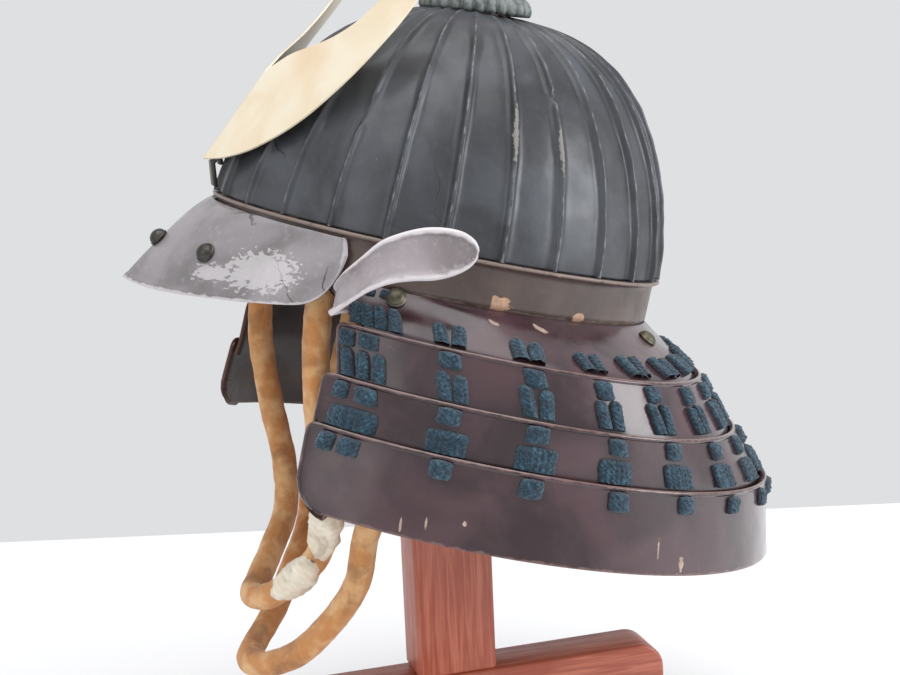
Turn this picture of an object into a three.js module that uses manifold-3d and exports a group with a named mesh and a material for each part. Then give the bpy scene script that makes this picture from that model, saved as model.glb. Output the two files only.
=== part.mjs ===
// Kabuto: a Japanese plate helmet with a four-row neck guard, on a plain wooden stand.
// Millimetres, +Z up, the helmet's front towards -Y, the wearer's left towards +X.
// The origin is on the floor, under the middle of the whole. The helmet is built level about the
// middle of the bowl's rim, in a group that then leans back on its stand.
import * as THREE from 'three';
import { mergeVertices } from 'three/addons/utils/BufferGeometryUtils.js';
import Module from 'manifold-3d';

const wasm = await Module();
wasm.setup();

// ---- Driving dimensions ----
const GAP = 0.35; // clearance between neighbouring pieces

const RIM_ABOVE_FLOOR = 302;
const HELMET_LEAN = 15; // degrees back from upright
const CENTRE_SHIFT = -3.4; // brings the middle of the whole's length over the origin

const RIM = { halfWidth: 98, halfLength: 113 }; // plan of the bowl plates at their lower edge
const BOWL = { height: 112.5, wall: 2.2, plates: 26, crownHole: 0.17, crownShift: -6 };
const BOWL_FULLNESS = { front: 1.05, side: 0.75, rear: 0.55, rise: 1.22 };
const SEAM = { halfWidth: 1.5, height: 2.4, fadeNearCrown: 0.3 };

const BAND = { height: 21, wall: 2.2, inset: 0.6, lip: 2.6, lipHeight: 1.8 };

const LAME = { wall: 3, gap: 1, overlap: 9, columns: 28 };
// Outer plan of the neck guard at each level: an ellipse half in front of centreY and half behind.
const LEVELS = [
  { z: -21.6, centreY: 0, rear: 112.6, front: 112.6, side: 97.6, frontAngle: -34 },
  { z: -39.4, centreY: 36, rear: 105, front: 142, side: 128, frontAngle: -43.5 },
  { z: -61.9, centreY: 42, rear: 123, front: 150, side: 141, frontAngle: -47 },
  { z: -84.4, centreY: 44, rear: 147, front: 157, side: 146, frontAngle: -48.5 },
  { z: -122.8, centreY: 43, rear: 159, front: 161, side: 151, frontAngle: -47 },
];
const HEM_CORNER = { height: 0.62, angle: 8 }; // rounded lower front corners of the last row

// Leaf of the turned-back front of the first row: distance out, and lower and upper edge, by y.
const TURN_BACK = [
  { x: 84, y: -57, low: -35.5, high: -23 },
  { x: 88, y: -65, low: -36, high: -23 },
  { x: 94, y: -70.5, low: -36.5, high: -22.5 },
  { x: 101, y: -70, low: -34, high: -15 },
  { x: 105.5, y: -66, low: -28, high: -7.5 },
  { x: 108.5, y: -60, low: -21.5, high: 1 },
  { x: 110.5, y: -52, low: -16.5, high: 6.5 },
  { x: 112, y: -43, low: -13.5, high: 10.5 },
  { x: 113, y: -34, low: -11.5, high: 12.2 },
  { x: 114, y: -26, low: -8, high: 12 },
  { x: 114.5, y: -20, low: -3.5, high: 9.5 },
  { x: 115, y: -17, low: 1, high: 6 },
];
const TURN_BACK_WALL = 2.2;

const VISOR = { wall: 1.9, topZ: -3.2, tipY: -151.8, drop: 44, lobeX: 84, lobeBack: 10 };
const VISOR_PLAN = { keel: 0.25, sweep: 0.0075, flare: 0.72, tip: 0.35 };
const VISOR_TOP = { halfWidth: 80, clear: 2.2 };
const RIVET = { radius: 4.8, height: 4.6, sides: 10, rings: 3 };
const VISOR_RIVETS = { left: 0.31, centre: 0, right: -0.31, down: 0.52 };
const ROW_RIVETS = { front: { angle: -25, down: 0.17 }, rear: { angle: 50, down: 0.27 } };

// Half outline of the crescent crest, from its centre line to a horn's tip.
const CREST = [
  { outX: 0, outZ: 15, inX: 0, inZ: 61 },
  { outX: 16, outZ: 18.5, inX: 4, inZ: 66 },
  { outX: 33, outZ: 27, inX: 11, inZ: 72.5 },
  { outX: 50, outZ: 42, inX: 21, inZ: 77.5 },
  { outX: 62, outZ: 62, inX: 33, inZ: 84 },
  { outX: 69, outZ: 82, inX: 42.5, inZ: 93.5 },
  { outX: 72, outZ: 103, inX: 48.5, inZ: 107 },
  { outX: 69, outZ: 122, inX: 51, inZ: 122 },
  { outX: 58.5, outZ: 140, inX: 56, inZ: 139 },
];
const CREST_SHEET = { wall: 1, footY: -124.6, footZ: 15, leanBack: 0.457, fold: 0.36 };
const BRACKET = { halfWidth: 4.5 };

const COLLAR = { radius: 28, inner: 20.4, height: 7, petals: 28, scallop: 1.7, lean: 6, seat: 1.2 };
const TUBE = { radius: 20, wall: 1.6, height: 19, ribs: 24, ribDepth: 0.9 };

const LACING = { columnsPerSide: 8, firstAngle: -24, pitch: 15.2, frontAngle: -41, thickness: 3 };
const LACING_UNDER_LEAF = { turn: 7.6, narrow: 0.5 }; // the front group's top, behind the leaf
const LACING_WIDTH = { plain: { vertical: 11, knot: 8.5 }, front: { vertical: 22, knot: 19 } };

const CORD = { diameter: 13.5, sides: 8, steps: 72, joint: 1 };
// Route of the chin cord's left half, as [x, y, height from the rim], from its ring down in front
// of the throat. The lower pass comes first, then the upper pass back to the ring.
const CORD_TOP = [71, -49, 14];
const CORD_LOWER = [
  [76, -25, 2], [79, -22, -28], [76, -32, -62], [68, -46, -98], [60, -60, -132],
  [55, -65, -158], [45, -78, -181], [31, -92, -199], [14, -106, -209],
];
const CORD_CHIN_LOWER = [0, -111, -211];
const CORD_UPPER = [
  [14, -101, -173], [28, -90, -161], [40, -80, -146], [50, -77, -124], [62, -80, -92],
  [69, -82, -58], [66, -79, -25], [64, -71, 2],
];
const CORD_CHIN_UPPER = [0, -107, -176];
const RING = { inner: 8.2, wire: 1.8 };

const STAND = { boardWidth: 190, boardLength: 250, boardThick: 18, plankThick: 28, plankTop: 71 };
const PLANK = { rear: 112, front: -112, round: 14 };
const POST = { rear: 17, front: -25, restRadius: 36, restHeight: 22 };

const COLOURS = {
  blackLacquer: [0x54585f, 0.42, 0.35],
  brownLacquer: [0x6d5a5d, 0.35, 0.15],
  greyLacquer: [0xb4aeb1, 0.4, 0.25],
  bandLacquer: [0x6a5c58, 0.5, 0.15],
  iron: [0x55544f, 0.5, 0.7],
  gilt: [0xe9cf93, 0.35, 0.85],
  patina: [0x6f7a7c, 0.55, 0.6],
  copper: [0x96705c, 0.45, 0.75],
  braid: [0x24485c, 0.9, 0],
  cloth: [0xc98b55, 0.9, 0],
  wood: [0xa75f49, 0.45, 0],
};

// ---- Helpers ----
const radians = THREE.MathUtils.degToRad;
const lerp = THREE.MathUtils.lerp;
const point = (x, y, z) => new THREE.Vector3(x, y, z);

function finish(name) {
  const [color, roughness, metalness] = COLOURS[name];
  return new THREE.MeshStandardMaterial({ color, roughness, metalness });
}

// Merges shared vertices and turns the faces outwards if the signed volume is negative.
function closed(geometry) {
  geometry.deleteAttribute('normal');
  geometry.deleteAttribute('uv');
  const merged = mergeVertices(geometry, 1e-4);
  const { position } = merged.attributes;
  const index = merged.index.array;
  const corner = [0, 1, 2].map(() => new THREE.Vector3());
  let volume = 0;
  for (let i = 0; i < index.length; i += 3) {
    corner.forEach((c, k) => c.fromBufferAttribute(position, index[i + k]));
    volume += corner[0].dot(corner[1].clone().cross(corner[2]));
  }
  if (volume < 0) {
    for (let i = 0; i < index.length; i += 3) {
      [index[i], index[i + 1]] = [index[i + 1], index[i]];
    }
  }
  return merged;
}

// A closed plate: a subdivided box whose u, v and depth (0 to 1 each) are mapped to points.
function plate(columns, rows, place) {
  const box = new THREE.BoxGeometry(1, 1, 1, columns, rows, 1);
  const { position } = box.attributes;
  for (let i = 0; i < position.count; i += 1) {
    const p = place(position.getX(i) + 0.5, position.getY(i) + 0.5, position.getZ(i) + 0.5);
    position.setXYZ(i, p.x, p.y, p.z);
  }
  return closed(box);
}

// A closed ring: a lathe of a closed profile whose points are then placed one by one.
function ring(profileCount, segments, place) {
  const loop = Array.from({ length: profileCount + 1 }, (_, j) => {
    const a = (2 * Math.PI * j) / profileCount;
    return new THREE.Vector2(3 + Math.cos(a), Math.sin(a));
  });
  const lathe = new THREE.LatheGeometry(loop, segments);
  const { position } = lathe.attributes;
  for (let i = 0; i < position.count; i += 1) {
    const segment = Math.floor(i / (profileCount + 1)) % segments;
    const p = place(segment, (i % (profileCount + 1)) % profileCount);
    position.setXYZ(i, p.x, p.y, p.z);
  }
  return closed(lathe);
}

function toSolid(geometry) {
  const { position } = geometry.attributes;
  return new wasm.Manifold(new wasm.Mesh({
    numProp: 3,
    vertProperties: new Float32Array(position.array),
    triVerts: new Uint32Array(geometry.index.array),
  }));
}

function fromSolid(solid) {
  const mesh = solid.getMesh();
  const geometry = new THREE.BufferGeometry();
  geometry.setAttribute('position', new THREE.BufferAttribute(mesh.vertProperties, 3));
  geometry.setIndex(new THREE.BufferAttribute(mesh.triVerts, 1));
  return geometry;
}

function add(group, name, geometry, material) {
  const mesh = new THREE.Mesh(geometry, finish(material));
  mesh.name = name;
  group.add(mesh);
  return mesh;
}

// Reads a table with named columns at a position along it, with a smooth curve through the rows.
function along(table, u) {
  const at = u * (table.length - 1);
  const i = Math.min(Math.floor(at), table.length - 2);
  const row = (k) => table[THREE.MathUtils.clamp(k, 0, table.length - 1)];
  const out = {};
  for (const key of Object.keys(table[0])) {
    const [a, b, c, d] = [row(i - 1)[key], row(i)[key], row(i + 1)[key], row(i + 2)[key]];
    const t = at - i;
    out[key] = b + 0.5 * t * (c - a + t * (2 * a - 5 * b + 4 * c - d + t * (3 * (b - c) + d - a)));
  }
  return out;
}

// ---- Bowl ----
function fullness(angle) {
  const s = Math.sin(angle);
  const end = s > 0 ? BOWL_FULLNESS.rear : BOWL_FULLNESS.front;
  return lerp(BOWL_FULLNESS.side, end, s * s);
}

// A point of the dome: angle round the plan, rise from 0 at the rim to 1 at the crown hole.
function domePoint(angle, rise, inward = 0) {
  const power = fullness(angle);
  const top = Math.acos(BOWL.crownHole ** (1 / power));
  const climb = rise * top;
  const spread = Math.cos(climb) ** power;
  const height = Math.sin(climb) ** BOWL_FULLNESS.rise;
  return point(
    (RIM.halfWidth - inward) * spread * Math.cos(angle),
    (RIM.halfLength - inward) * spread * Math.sin(angle) + BOWL.crownShift * height * height,
    (BOWL.height - inward) * height,
  );
}

function domeNormal(angle, rise) {
  const step = 0.004;
  const low = Math.max(rise - step, 0);
  const round = domePoint(angle + step, rise).sub(domePoint(angle - step, rise));
  const up = domePoint(angle, rise + step).sub(domePoint(angle, low));
  return round.cross(up).normalize();
}

function bowl() {
  const outerRows = 8;
  const innerRows = 4;
  const pitch = (2 * Math.PI) / BOWL.plates;
  return ring(outerRows + innerRows, BOWL.plates * 3, (segment, j) => {
    const seam = (Math.floor(segment / 3) + 0.5) * pitch - Math.PI / 2;
    const side = (segment % 3) - 1;
    if (j >= outerRows) {
      const rise = 1 - (j - outerRows) / (innerRows - 1);
      return domePoint(seam + (side * pitch) / 3, rise, BOWL.wall).setZ(
        Math.max(domePoint(seam, rise, BOWL.wall).z, rise === 0 ? GAP : 0),
      );
    }
    const rise = j / (outerRows - 1);
    const middle = domePoint(seam, rise);
    const reach = Math.hypot(middle.x, middle.y - BOWL.crownShift * rise);
    const angle = seam + side * Math.min(SEAM.halfWidth / reach, pitch / 3);
    const p = domePoint(angle, rise);
    if (side === 0) {
      const fade = THREE.MathUtils.clamp((1 - rise) / SEAM.fadeNearCrown, 0.1, 1);
      p.addScaledVector(domeNormal(seam, rise), SEAM.height * fade);
    }
    return p.setZ(Math.max(p.z, GAP));
  });
}

// ---- Waist band, with its lip turned out under the bowl ----
function waistBand() {
  const { height, wall, inset, lip, lipHeight } = BAND;
  const profile = [
    [-inset, -height], [-inset, -lipHeight], [lip, -lipHeight], [lip, 0],
    [-inset - wall, 0], [-inset - wall, -height],
  ];
  const segments = 52;
  return ring(profile.length, segments, (segment, j) => {
    const angle = (2 * Math.PI * segment) / segments;
    const [out, z] = profile[j];
    return point(
      (RIM.halfWidth + out) * Math.cos(angle),
      (RIM.halfLength + out) * Math.sin(angle),
      z,
    );
  });
}

// ---- Neck guard ----
// A level's plan at an angle (0 at the wearer's left, 90 degrees at the back), moved inwards.
function planPoint(level, angle, inward = 0) {
  const s = Math.sin(angle);
  const depth = (s > 0 ? level.rear : level.front) - inward;
  return point((level.side - inward) * Math.cos(angle), level.centreY + depth * s, level.z);
}

function mixLevels(a, b, t) {
  const out = {};
  for (const key of ['z', 'centreY', 'rear', 'front', 'side', 'frontAngle']) {
    out[key] = lerp(a[key], b[key], t);
  }
  return out;
}

// The outer surface of row n (0 to 3) at a fraction down from its top edge to the next level.
function rowLevel(n, down) {
  return mixLevels(LEVELS[n], LEVELS[n + 1], down);
}

// Sections of row n from its top edge down, each with how far it lies inside that level's plan.
function rowSections(n) {
  if (n === 3) {
    return [0, 0.3, 0.62, 0.78, 0.9, 0.97, 1].map((down) => ({
      ...rowLevel(3, down), inward: 0, down,
    }));
  }
  const tuck = LAME.wall + LAME.gap;
  const top = LEVELS[n];
  const next = LEVELS[n + 1];
  const share = LAME.overlap / (next.z - LEVELS[n + 2].z);
  const under = mixLevels(next, LEVELS[n + 2], share);
  const frontAngle = lerp(top.frontAngle, next.frontAngle, 0.9);
  return [
    { ...top, inward: 0 },
    { ...next, frontAngle, inward: tuck },
    { ...under, frontAngle, inward: tuck * (n < 2 ? 1 + share : 1) },
  ];
}

// How far the end of the last row steps back towards its rounded lower corner.
function cornerStep(down) {
  const t = Math.max(0, (down - HEM_CORNER.height) / (1 - HEM_CORNER.height));
  return HEM_CORNER.angle * (1 - Math.sqrt(Math.max(0, 1 - t * t)));
}

function neckRow(n) {
  const sections = rowSections(n);
  return plate(LAME.columns, sections.length - 1, (u, v, depth) => {
    const section = sections[Math.round((1 - v) * (sections.length - 1))];
    const step = n === 3 ? cornerStep(section.down) : 0;
    const front = section.frontAngle + step;
    const angle = radians(lerp(front, 180 - front, u));
    return planPoint(section, angle, section.inward + (1 - depth) * LAME.wall);
  });
}

function turnBack(side) {
  return plate(18, 3, (u, v, depth) => {
    const at = along(TURN_BACK, u);
    const before = along(TURN_BACK, Math.max(u - 0.01, 0));
    const after = along(TURN_BACK, Math.min(u + 0.01, 1));
    const tangent = new THREE.Vector2(after.x - before.x, after.y - before.y).normalize();
    const shift = (depth - 0.5) * TURN_BACK_WALL;
    return point(
      side * (at.x + tangent.y * shift),
      at.y - tangent.x * shift,
      lerp(at.low, at.high, v),
    );
  });
}

function firstRow() {
  const row = toSolid(neckRow(0)).add(toSolid(turnBack(1))).add(toSolid(turnBack(-1)));
  return fromSolid(row);
}

// ---- Rivets: a low dome standing on a surface point ----
function rivet(group, name, place, normal) {
  const { radius, height, sides, rings } = RIVET;
  const profile = [new THREE.Vector2(0, 0)];
  for (let i = 0; i < rings; i += 1) {
    const a = (i / rings) * (Math.PI / 2);
    profile.push(new THREE.Vector2(radius * Math.cos(a), height * Math.sin(a)));
  }
  profile.push(new THREE.Vector2(0, height));
  const mesh = add(group, name, closed(new THREE.LatheGeometry(profile, sides)), 'iron');
  mesh.quaternion.setFromUnitVectors(point(0, 1, 0), normal);
  mesh.position.copy(place).addScaledVector(normal, GAP);
}

function surfaceNormal(surface, u, v) {
  const step = 0.01;
  const across = surface(u + step, v).sub(surface(u - step, v));
  const down = surface(u, v + step).sub(surface(u, v - step));
  return across.cross(down).normalize();
}

// ---- Visor: u from -1 (right) to 1 (left), v from 0 (top edge) to 1 (lower edge) ----
function visorPoint(u, v, out = 0) {
  const turn = Math.sin((u * Math.PI) / 2);
  const a = Math.abs(u);
  const halfLength = RIM.halfLength + VISOR_TOP.clear;
  const halfWidth = RIM.halfWidth + VISOR_TOP.clear;
  const topX = VISOR_TOP.halfWidth * turn;
  const topY = -halfLength * Math.sqrt(1 - (topX / halfWidth) ** 2);
  const lowX = VISOR.lobeX * turn;
  const swept = VISOR_PLAN.keel * Math.abs(lowX) + VISOR_PLAN.sweep * lowX * lowX;
  const lowY = VISOR.tipY + swept + VISOR.lobeBack * a ** 8;
  const lowZ = VISOR.topZ - 1 - VISOR.drop * (1 - a ** 6) ** 0.4;
  const spread = v ** VISOR_PLAN.flare;
  const p = point(
    lerp(topX, lowX, spread),
    lerp(topY, lowY, spread),
    lerp(VISOR.topZ, lowZ, v),
  );
  const outward = new THREE.Vector2(lowX, lowY + 60).normalize();
  return p.add(point(outward.x * out, outward.y * out, out * VISOR_PLAN.tip));
}

function visor() {
  return plate(24, 5, (u, v, depth) => {
    const across = (2 * u - 1) * 0.998;
    return visorPoint(across, 1 - v, (depth - 1) * VISOR.wall);
  });
}

// ---- Crest: a thin crescent folded along its centre line, leaning back ----
function crest() {
  return plate(28, 2, (u, v, depth) => {
    const side = Math.sign(u - 0.5);
    const row = along(CREST, Math.abs(2 * u - 1));
    const x = lerp(row.outX, row.inX, v);
    const z = lerp(row.outZ, row.inZ, v);
    const y = CREST_SHEET.footY + (z - CREST_SHEET.footZ) * CREST_SHEET.leanBack;
    return point(side * x, y + CREST_SHEET.fold * x + (1 - depth) * CREST_SHEET.wall, z);
  });
}

// The bent iron bar that stands on the visor's top edge, with a strut back to the bowl.
function crestBracket() {
  const { halfWidth } = BRACKET;
  const outline = new THREE.Shape([
    [-117.6, 2.8], [-121, 14.2], [-114.6, 28.6], [-112.8, 27.7], [-116.9, 19.2], [-114.9, 14.4],
    [-116.7, 13.4], [-118, 16.2], [-118.9, 13.8], [-115.4, 2.8],
  ].map(([y, z]) => new THREE.Vector2(y, z)));
  const solid = new THREE.ExtrudeGeometry(outline, { depth: 2 * halfWidth, bevelEnabled: false });
  solid.applyMatrix4(new THREE.Matrix4().set(
    0, 0, 1, -halfWidth,
    1, 0, 0, 0,
    0, 1, 0, 0,
    0, 0, 0, 1,
  ));
  return closed(solid);
}

// ---- Crown fitting: a scalloped petal collar and the ribbed tube in it ----
function ripple(radius, depth, count, steps, segment) {
  return radius - (segment % (steps / count) === 0 ? depth : 0);
}

function collar() {
  const { radius, inner, height, petals, scallop } = COLLAR;
  const steps = petals * 2;
  const profile = [
    [inner, 0, 0], [radius - 2.5, 0, 1], [radius, 2.2, 1], [radius - 0.6, height * 0.7, 1],
    [radius - 4, height, 0.4], [inner, height, 0],
  ];
  return ring(profile.length, steps, (segment, j) => {
    const angle = (2 * Math.PI * segment) / steps;
    const [r, z, wave] = profile[j];
    const reach = ripple(r, scallop * wave, petals, steps, segment);
    return point(reach * Math.cos(angle), reach * Math.sin(angle), z);
  });
}

function ribbedTube() {
  const { radius, wall, height, ribs, ribDepth } = TUBE;
  const steps = ribs * 2;
  const profile = [
    [radius, 0, 0], [radius, height - 2, 1], [radius, height, 0], [radius - wall, height, 0],
    [radius - wall, 0, 0],
  ];
  return ring(profile.length, steps, (segment, j) => {
    const angle = (2 * Math.PI * segment) / steps;
    const [r, z, wave] = profile[j];
    const reach = ripple(r, ribDepth * wave, ribs, steps, segment);
    return point(reach * Math.cos(angle), reach * Math.sin(angle), z);
  });
}

// ---- Lacing: one strap for each column, down over the three lower rows' top edges ----
function lacingColumn(side, column) {
  const stand = 2 * GAP;
  const tuck = LAME.wall + LAME.gap;
  const path = [];
  for (let n = 0; n < 3; n += 1) {
    const under = n === 0 && column.wide;
    const width = column.vertical * (under ? LACING_UNDER_LEAF.narrow : 1);
    const turn = under ? LACING_UNDER_LEAF.turn : 0;
    const edge = { ...LEVELS[n + 1], z: LEVELS[n + 1].z + 1.4 };
    path.push({ ...rowLevel(n, 0.5), out: stand - tuck * 0.5, width: width * 0.8, turn });
    path.push({ ...rowLevel(n, 0.8), out: stand - tuck * 0.8, width, turn });
    path.push({ ...edge, out: stand + 0.1, width: column.knot, turn: 0 });
    path.push({ ...rowLevel(n + 1, 0.28), out: stand + 0.1, width: column.knot, turn: 0 });
  }
  return plate(1, path.length - 1, (u, v, depth) => {
    const section = path[Math.round((1 - v) * (path.length - 1))];
    const half = section.width / 2 / (section.side + section.rear / 2) / 0.62;
    const angle = radians(column.angle + section.turn) + (u - 0.5) * 2 * half;
    const p = planPoint(section, angle, -section.out - depth * LACING.thickness);
    return p.setX(side * p.x);
  });
}

// ---- Chin cord ----
function cordRoute() {
  const mirror = ([x, y, z]) => [-x, y, z];
  const [x, y, z] = CORD_TOP;
  const loop = [
    [x, y + CORD.joint, z], ...CORD_LOWER, CORD_CHIN_LOWER, ...CORD_LOWER.map(mirror).reverse(),
    mirror(CORD_TOP), ...CORD_UPPER.map(mirror).reverse(), CORD_CHIN_UPPER, ...CORD_UPPER,
    [x, y - CORD.joint, z],
  ];
  return loop.map(([px, py, pz]) => point(px, py, pz + RIM_ABOVE_FLOOR));
}

function chinCord() {
  const outline = new THREE.Shape(Array.from({ length: CORD.sides }, (_, i) => {
    const a = (2 * Math.PI * i) / CORD.sides;
    return new THREE.Vector2(Math.cos(a), Math.sin(a)).multiplyScalar(CORD.diameter / 2);
  }));
  return closed(new THREE.ExtrudeGeometry(outline, {
    steps: CORD.steps,
    bevelEnabled: false,
    extrudePath: new THREE.CatmullRomCurve3(cordRoute(), false, 'centripetal'),
  }));
}

// ---- Stand ----
function plank() {
  const { rear, front, round } = PLANK;
  const low = STAND.boardThick + GAP;
  const top = STAND.plankTop;
  const outline = new THREE.Shape();
  outline.moveTo(front, low);
  outline.lineTo(rear, low);
  outline.lineTo(rear, top - round);
  outline.absarc(rear - round, top - round, round, 0, Math.PI / 2, false);
  outline.lineTo(front + round, top);
  outline.absarc(front + round, top - round, round, Math.PI / 2, Math.PI, false);
  const solid = new THREE.ExtrudeGeometry(outline, {
    depth: STAND.plankThick, bevelEnabled: false, curveSegments: 6,
  });
  solid.applyMatrix4(new THREE.Matrix4().set(
    0, 0, 1, -STAND.plankThick / 2,
    1, 0, 0, 0,
    0, 1, 0, 0,
    0, 0, 0, 1,
  ));
  return closed(solid);
}

function box(width, length, height, x, y, z) {
  return closed(new THREE.BoxGeometry(width, length, height).translate(x, y, z + height / 2));
}

// The space inside the bowl, a little smaller than its inner wall, in the helmet's own frame.
function bowlHollow() {
  const rows = 7;
  const columns = 24;
  return ring(rows + 2, columns, (segment, j) => {
    const angle = (2 * Math.PI * segment) / columns;
    if (j > rows) {
      return point(0.01 * Math.cos(angle), 0.01 * Math.sin(angle), 20);
    }
    const inward = BOWL.wall + 4.6;
    const p = domePoint(angle, j / rows, inward);
    return j === 0 ? p.setZ(20) : p.setZ(Math.max(p.z, 20));
  });
}

const whole = new THREE.Group();
const helmet = new THREE.Group();
helmet.position.z = RIM_ABOVE_FLOOR;
helmet.rotation.x = -radians(HELMET_LEAN);
whole.add(helmet);

add(helmet, 'bowl', bowl(), 'blackLacquer');
add(helmet, 'waist_band', waistBand(), 'bandLacquer');
add(helmet, 'visor', visor(), 'greyLacquer');
add(helmet, 'crest', crest(), 'gilt');
add(helmet, 'crest_bracket', crestBracket(), 'iron');
for (const side of ['left', 'centre', 'right']) {
  const u = VISOR_RIVETS[side];
  const normal = surfaceNormal(visorPoint, u + 0.011 * Math.sign(u), VISOR_RIVETS.down).negate();
  rivet(helmet, `visor_rivet_${side}`, visorPoint(u, VISOR_RIVETS.down), normal);
}

add(helmet, 'lame_1', firstRow(), 'brownLacquer');
for (let n = 1; n < 4; n += 1) {
  add(helmet, `lame_${n + 1}`, neckRow(n), 'brownLacquer');
}

const crown = new THREE.Group();
crown.position.set(0, BOWL.crownShift, BOWL.height + COLLAR.seat);
crown.rotation.x = radians(COLLAR.lean);
helmet.add(crown);
add(crown, 'finial_collar', collar(), 'patina');
add(crown, 'finial_tube', ribbedTube(), 'copper');

const columns = [{ name: 'front', angle: LACING.frontAngle, wide: true, ...LACING_WIDTH.front }];
for (let k = 0; k < LACING.columnsPerSide; k += 1) {
  const angle = LACING.firstAngle + k * LACING.pitch;
  columns.push({ name: `${k + 1}`, angle, wide: false, ...LACING_WIDTH.plain });
}
for (const [side, sign] of [['left', 1], ['right', -1]]) {
  for (const column of columns) {
    add(helmet, `lacing_${side}_${column.name}`, lacingColumn(sign, column), 'braid');
  }
  for (const [place, { angle, down }] of Object.entries(ROW_RIVETS)) {
    const surface = (a, d) => {
      const p = planPoint(rowLevel(0, d), radians(a), (LAME.wall + LAME.gap) * d);
      return p.setX(sign * p.x);
    };
    const normal = surfaceNormal(surface, angle, down).multiplyScalar(-sign);
    rivet(helmet, `row_rivet_${side}_${place}`, surface(angle, down), normal);
  }
}

add(whole, 'chin_cord', chinCord(), 'cloth');
for (const [side, sign] of [['left', 1], ['right', -1]]) {
  const [x, y, z] = CORD_TOP;
  const torus = new THREE.TorusGeometry(RING.inner + RING.wire, RING.wire, 6, 16);
  const cordRing = add(whole, `cord_ring_${side}`, closed(torus), 'iron');
  cordRing.position.set(sign * x, y, z + RIM_ABOVE_FLOOR);
  cordRing.rotation.x = Math.PI / 2;
}

const boardTop = STAND.boardThick;
add(whole, 'stand_board', box(STAND.boardWidth, STAND.boardLength, boardTop, 0, 0, 0), 'wood');
add(whole, 'stand_plank', plank(), 'wood');

const postLength = POST.rear - POST.front;
const postMiddle = (POST.rear + POST.front) / 2;
const postFoot = STAND.plankTop + GAP;
const restTop = RIM_ABOVE_FLOOR + BOWL.height;
const restFoot = restTop - POST.restHeight - 12;
add(whole, 'stand_post', box(
  STAND.plankThick, postLength, restFoot - GAP - postFoot, 0, postMiddle, postFoot,
), 'wood');

const restBlock = closed(new THREE.CylinderGeometry(
  POST.restRadius, POST.restRadius, restTop - restFoot, 24,
).rotateX(Math.PI / 2).translate(0, postMiddle, (restTop + restFoot) / 2));
whole.updateMatrixWorld(true);
const hollow = bowlHollow().applyMatrix4(helmet.matrixWorld);
add(whole, 'crown_rest', fromSolid(toSolid(restBlock).intersect(toSolid(hollow))), 'wood');

whole.position.y = CENTRE_SHIFT;
const root = new THREE.Group();
root.add(whole);

export default root;
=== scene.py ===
"""Dresses a kabuto, a Japanese plate helmet with a laced neck guard, on its wooden stand.

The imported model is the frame: every piece here is built in millimetres about the middle of the
bowl's rim, then placed by the same lean and height as the model, and stands for its plain solid.
"""

from __future__ import annotations

import logging
import math
import random
from dataclasses import dataclass, field, replace
from enum import Enum
from typing import Callable, Sequence

import bmesh
import bpy
from mathutils import Matrix, Vector, noise

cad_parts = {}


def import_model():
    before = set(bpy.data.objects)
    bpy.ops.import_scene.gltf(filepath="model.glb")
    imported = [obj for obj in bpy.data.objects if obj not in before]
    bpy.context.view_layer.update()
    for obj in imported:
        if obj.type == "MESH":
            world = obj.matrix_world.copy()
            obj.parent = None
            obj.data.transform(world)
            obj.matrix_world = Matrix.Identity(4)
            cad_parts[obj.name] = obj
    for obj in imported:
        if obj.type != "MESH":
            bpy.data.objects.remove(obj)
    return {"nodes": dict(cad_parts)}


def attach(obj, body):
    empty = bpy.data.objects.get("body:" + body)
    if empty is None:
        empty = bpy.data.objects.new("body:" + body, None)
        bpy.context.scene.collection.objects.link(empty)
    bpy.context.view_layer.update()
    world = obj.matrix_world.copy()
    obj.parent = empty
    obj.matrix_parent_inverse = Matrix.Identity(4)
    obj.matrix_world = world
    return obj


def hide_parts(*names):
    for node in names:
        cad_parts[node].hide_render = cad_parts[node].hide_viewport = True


LOG = logging.getLogger("kabuto")
MM = 0.001
RIM_HEIGHT = 302.0  # the rim's middle above the floor
CENTRE_SHIFT = -3.4  # brings the middle of the whole over the origin
LEAN = math.radians(15)  # the helmet leans back on its stand
ROUTE_STEP = 1.6  # between two points of the chin cord

STANDING = Matrix.Scale(MM, 4) @ Matrix.Translation((0, CENTRE_SHIFT, RIM_HEIGHT))
HELMET = STANDING @ Matrix.Rotation(-LEAN, 4, "X")

Value = bpy.types.NodeSocket | bpy.types.Node | float | str | Sequence[float]
Place = Callable[[float, float], Vector]


class Slot(Enum):
    """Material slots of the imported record."""

    BLACK = "black_lacquer"
    BROWN = "brown_lacquer"
    GREY = "grey_lacquer"
    BAND = "band_lacquer"
    IRON = "iron"
    GILT = "gilt"
    PATINA = "patina"
    COPPER = "copper"
    BRAID = "braid"
    CLOTH = "cord_cloth"
    WOOD = "wood"


# ---- Small sums ----
def lerp(a: float, b: float, t: float) -> float:
    """Returns the value a share t of the way from a to b."""
    return a + (b - a) * t


def clamp(value: float, low: float = 0.0, high: float = 1.0) -> float:
    """Returns value held between low and high."""
    return max(low, min(high, value))


def smooth(low: float, high: float, value: float) -> float:
    """Returns 0 below low and 1 above high, with a smooth rise between."""
    t = clamp((value - low) / (high - low))
    return t * t * (3 - 2 * t)


def rough(point: Vector, size: float, seed: float = 0.0) -> float:
    """Returns smooth noise from -1 to 1 with features about size long.

    Args:
        point: place in the piece's own units.
        size: length of one feature in the same units.
        seed: shifts the pattern, so that pieces differ.
    """
    return noise.noise(point / size + Vector((seed, seed * 1.7, -seed)))


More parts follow.
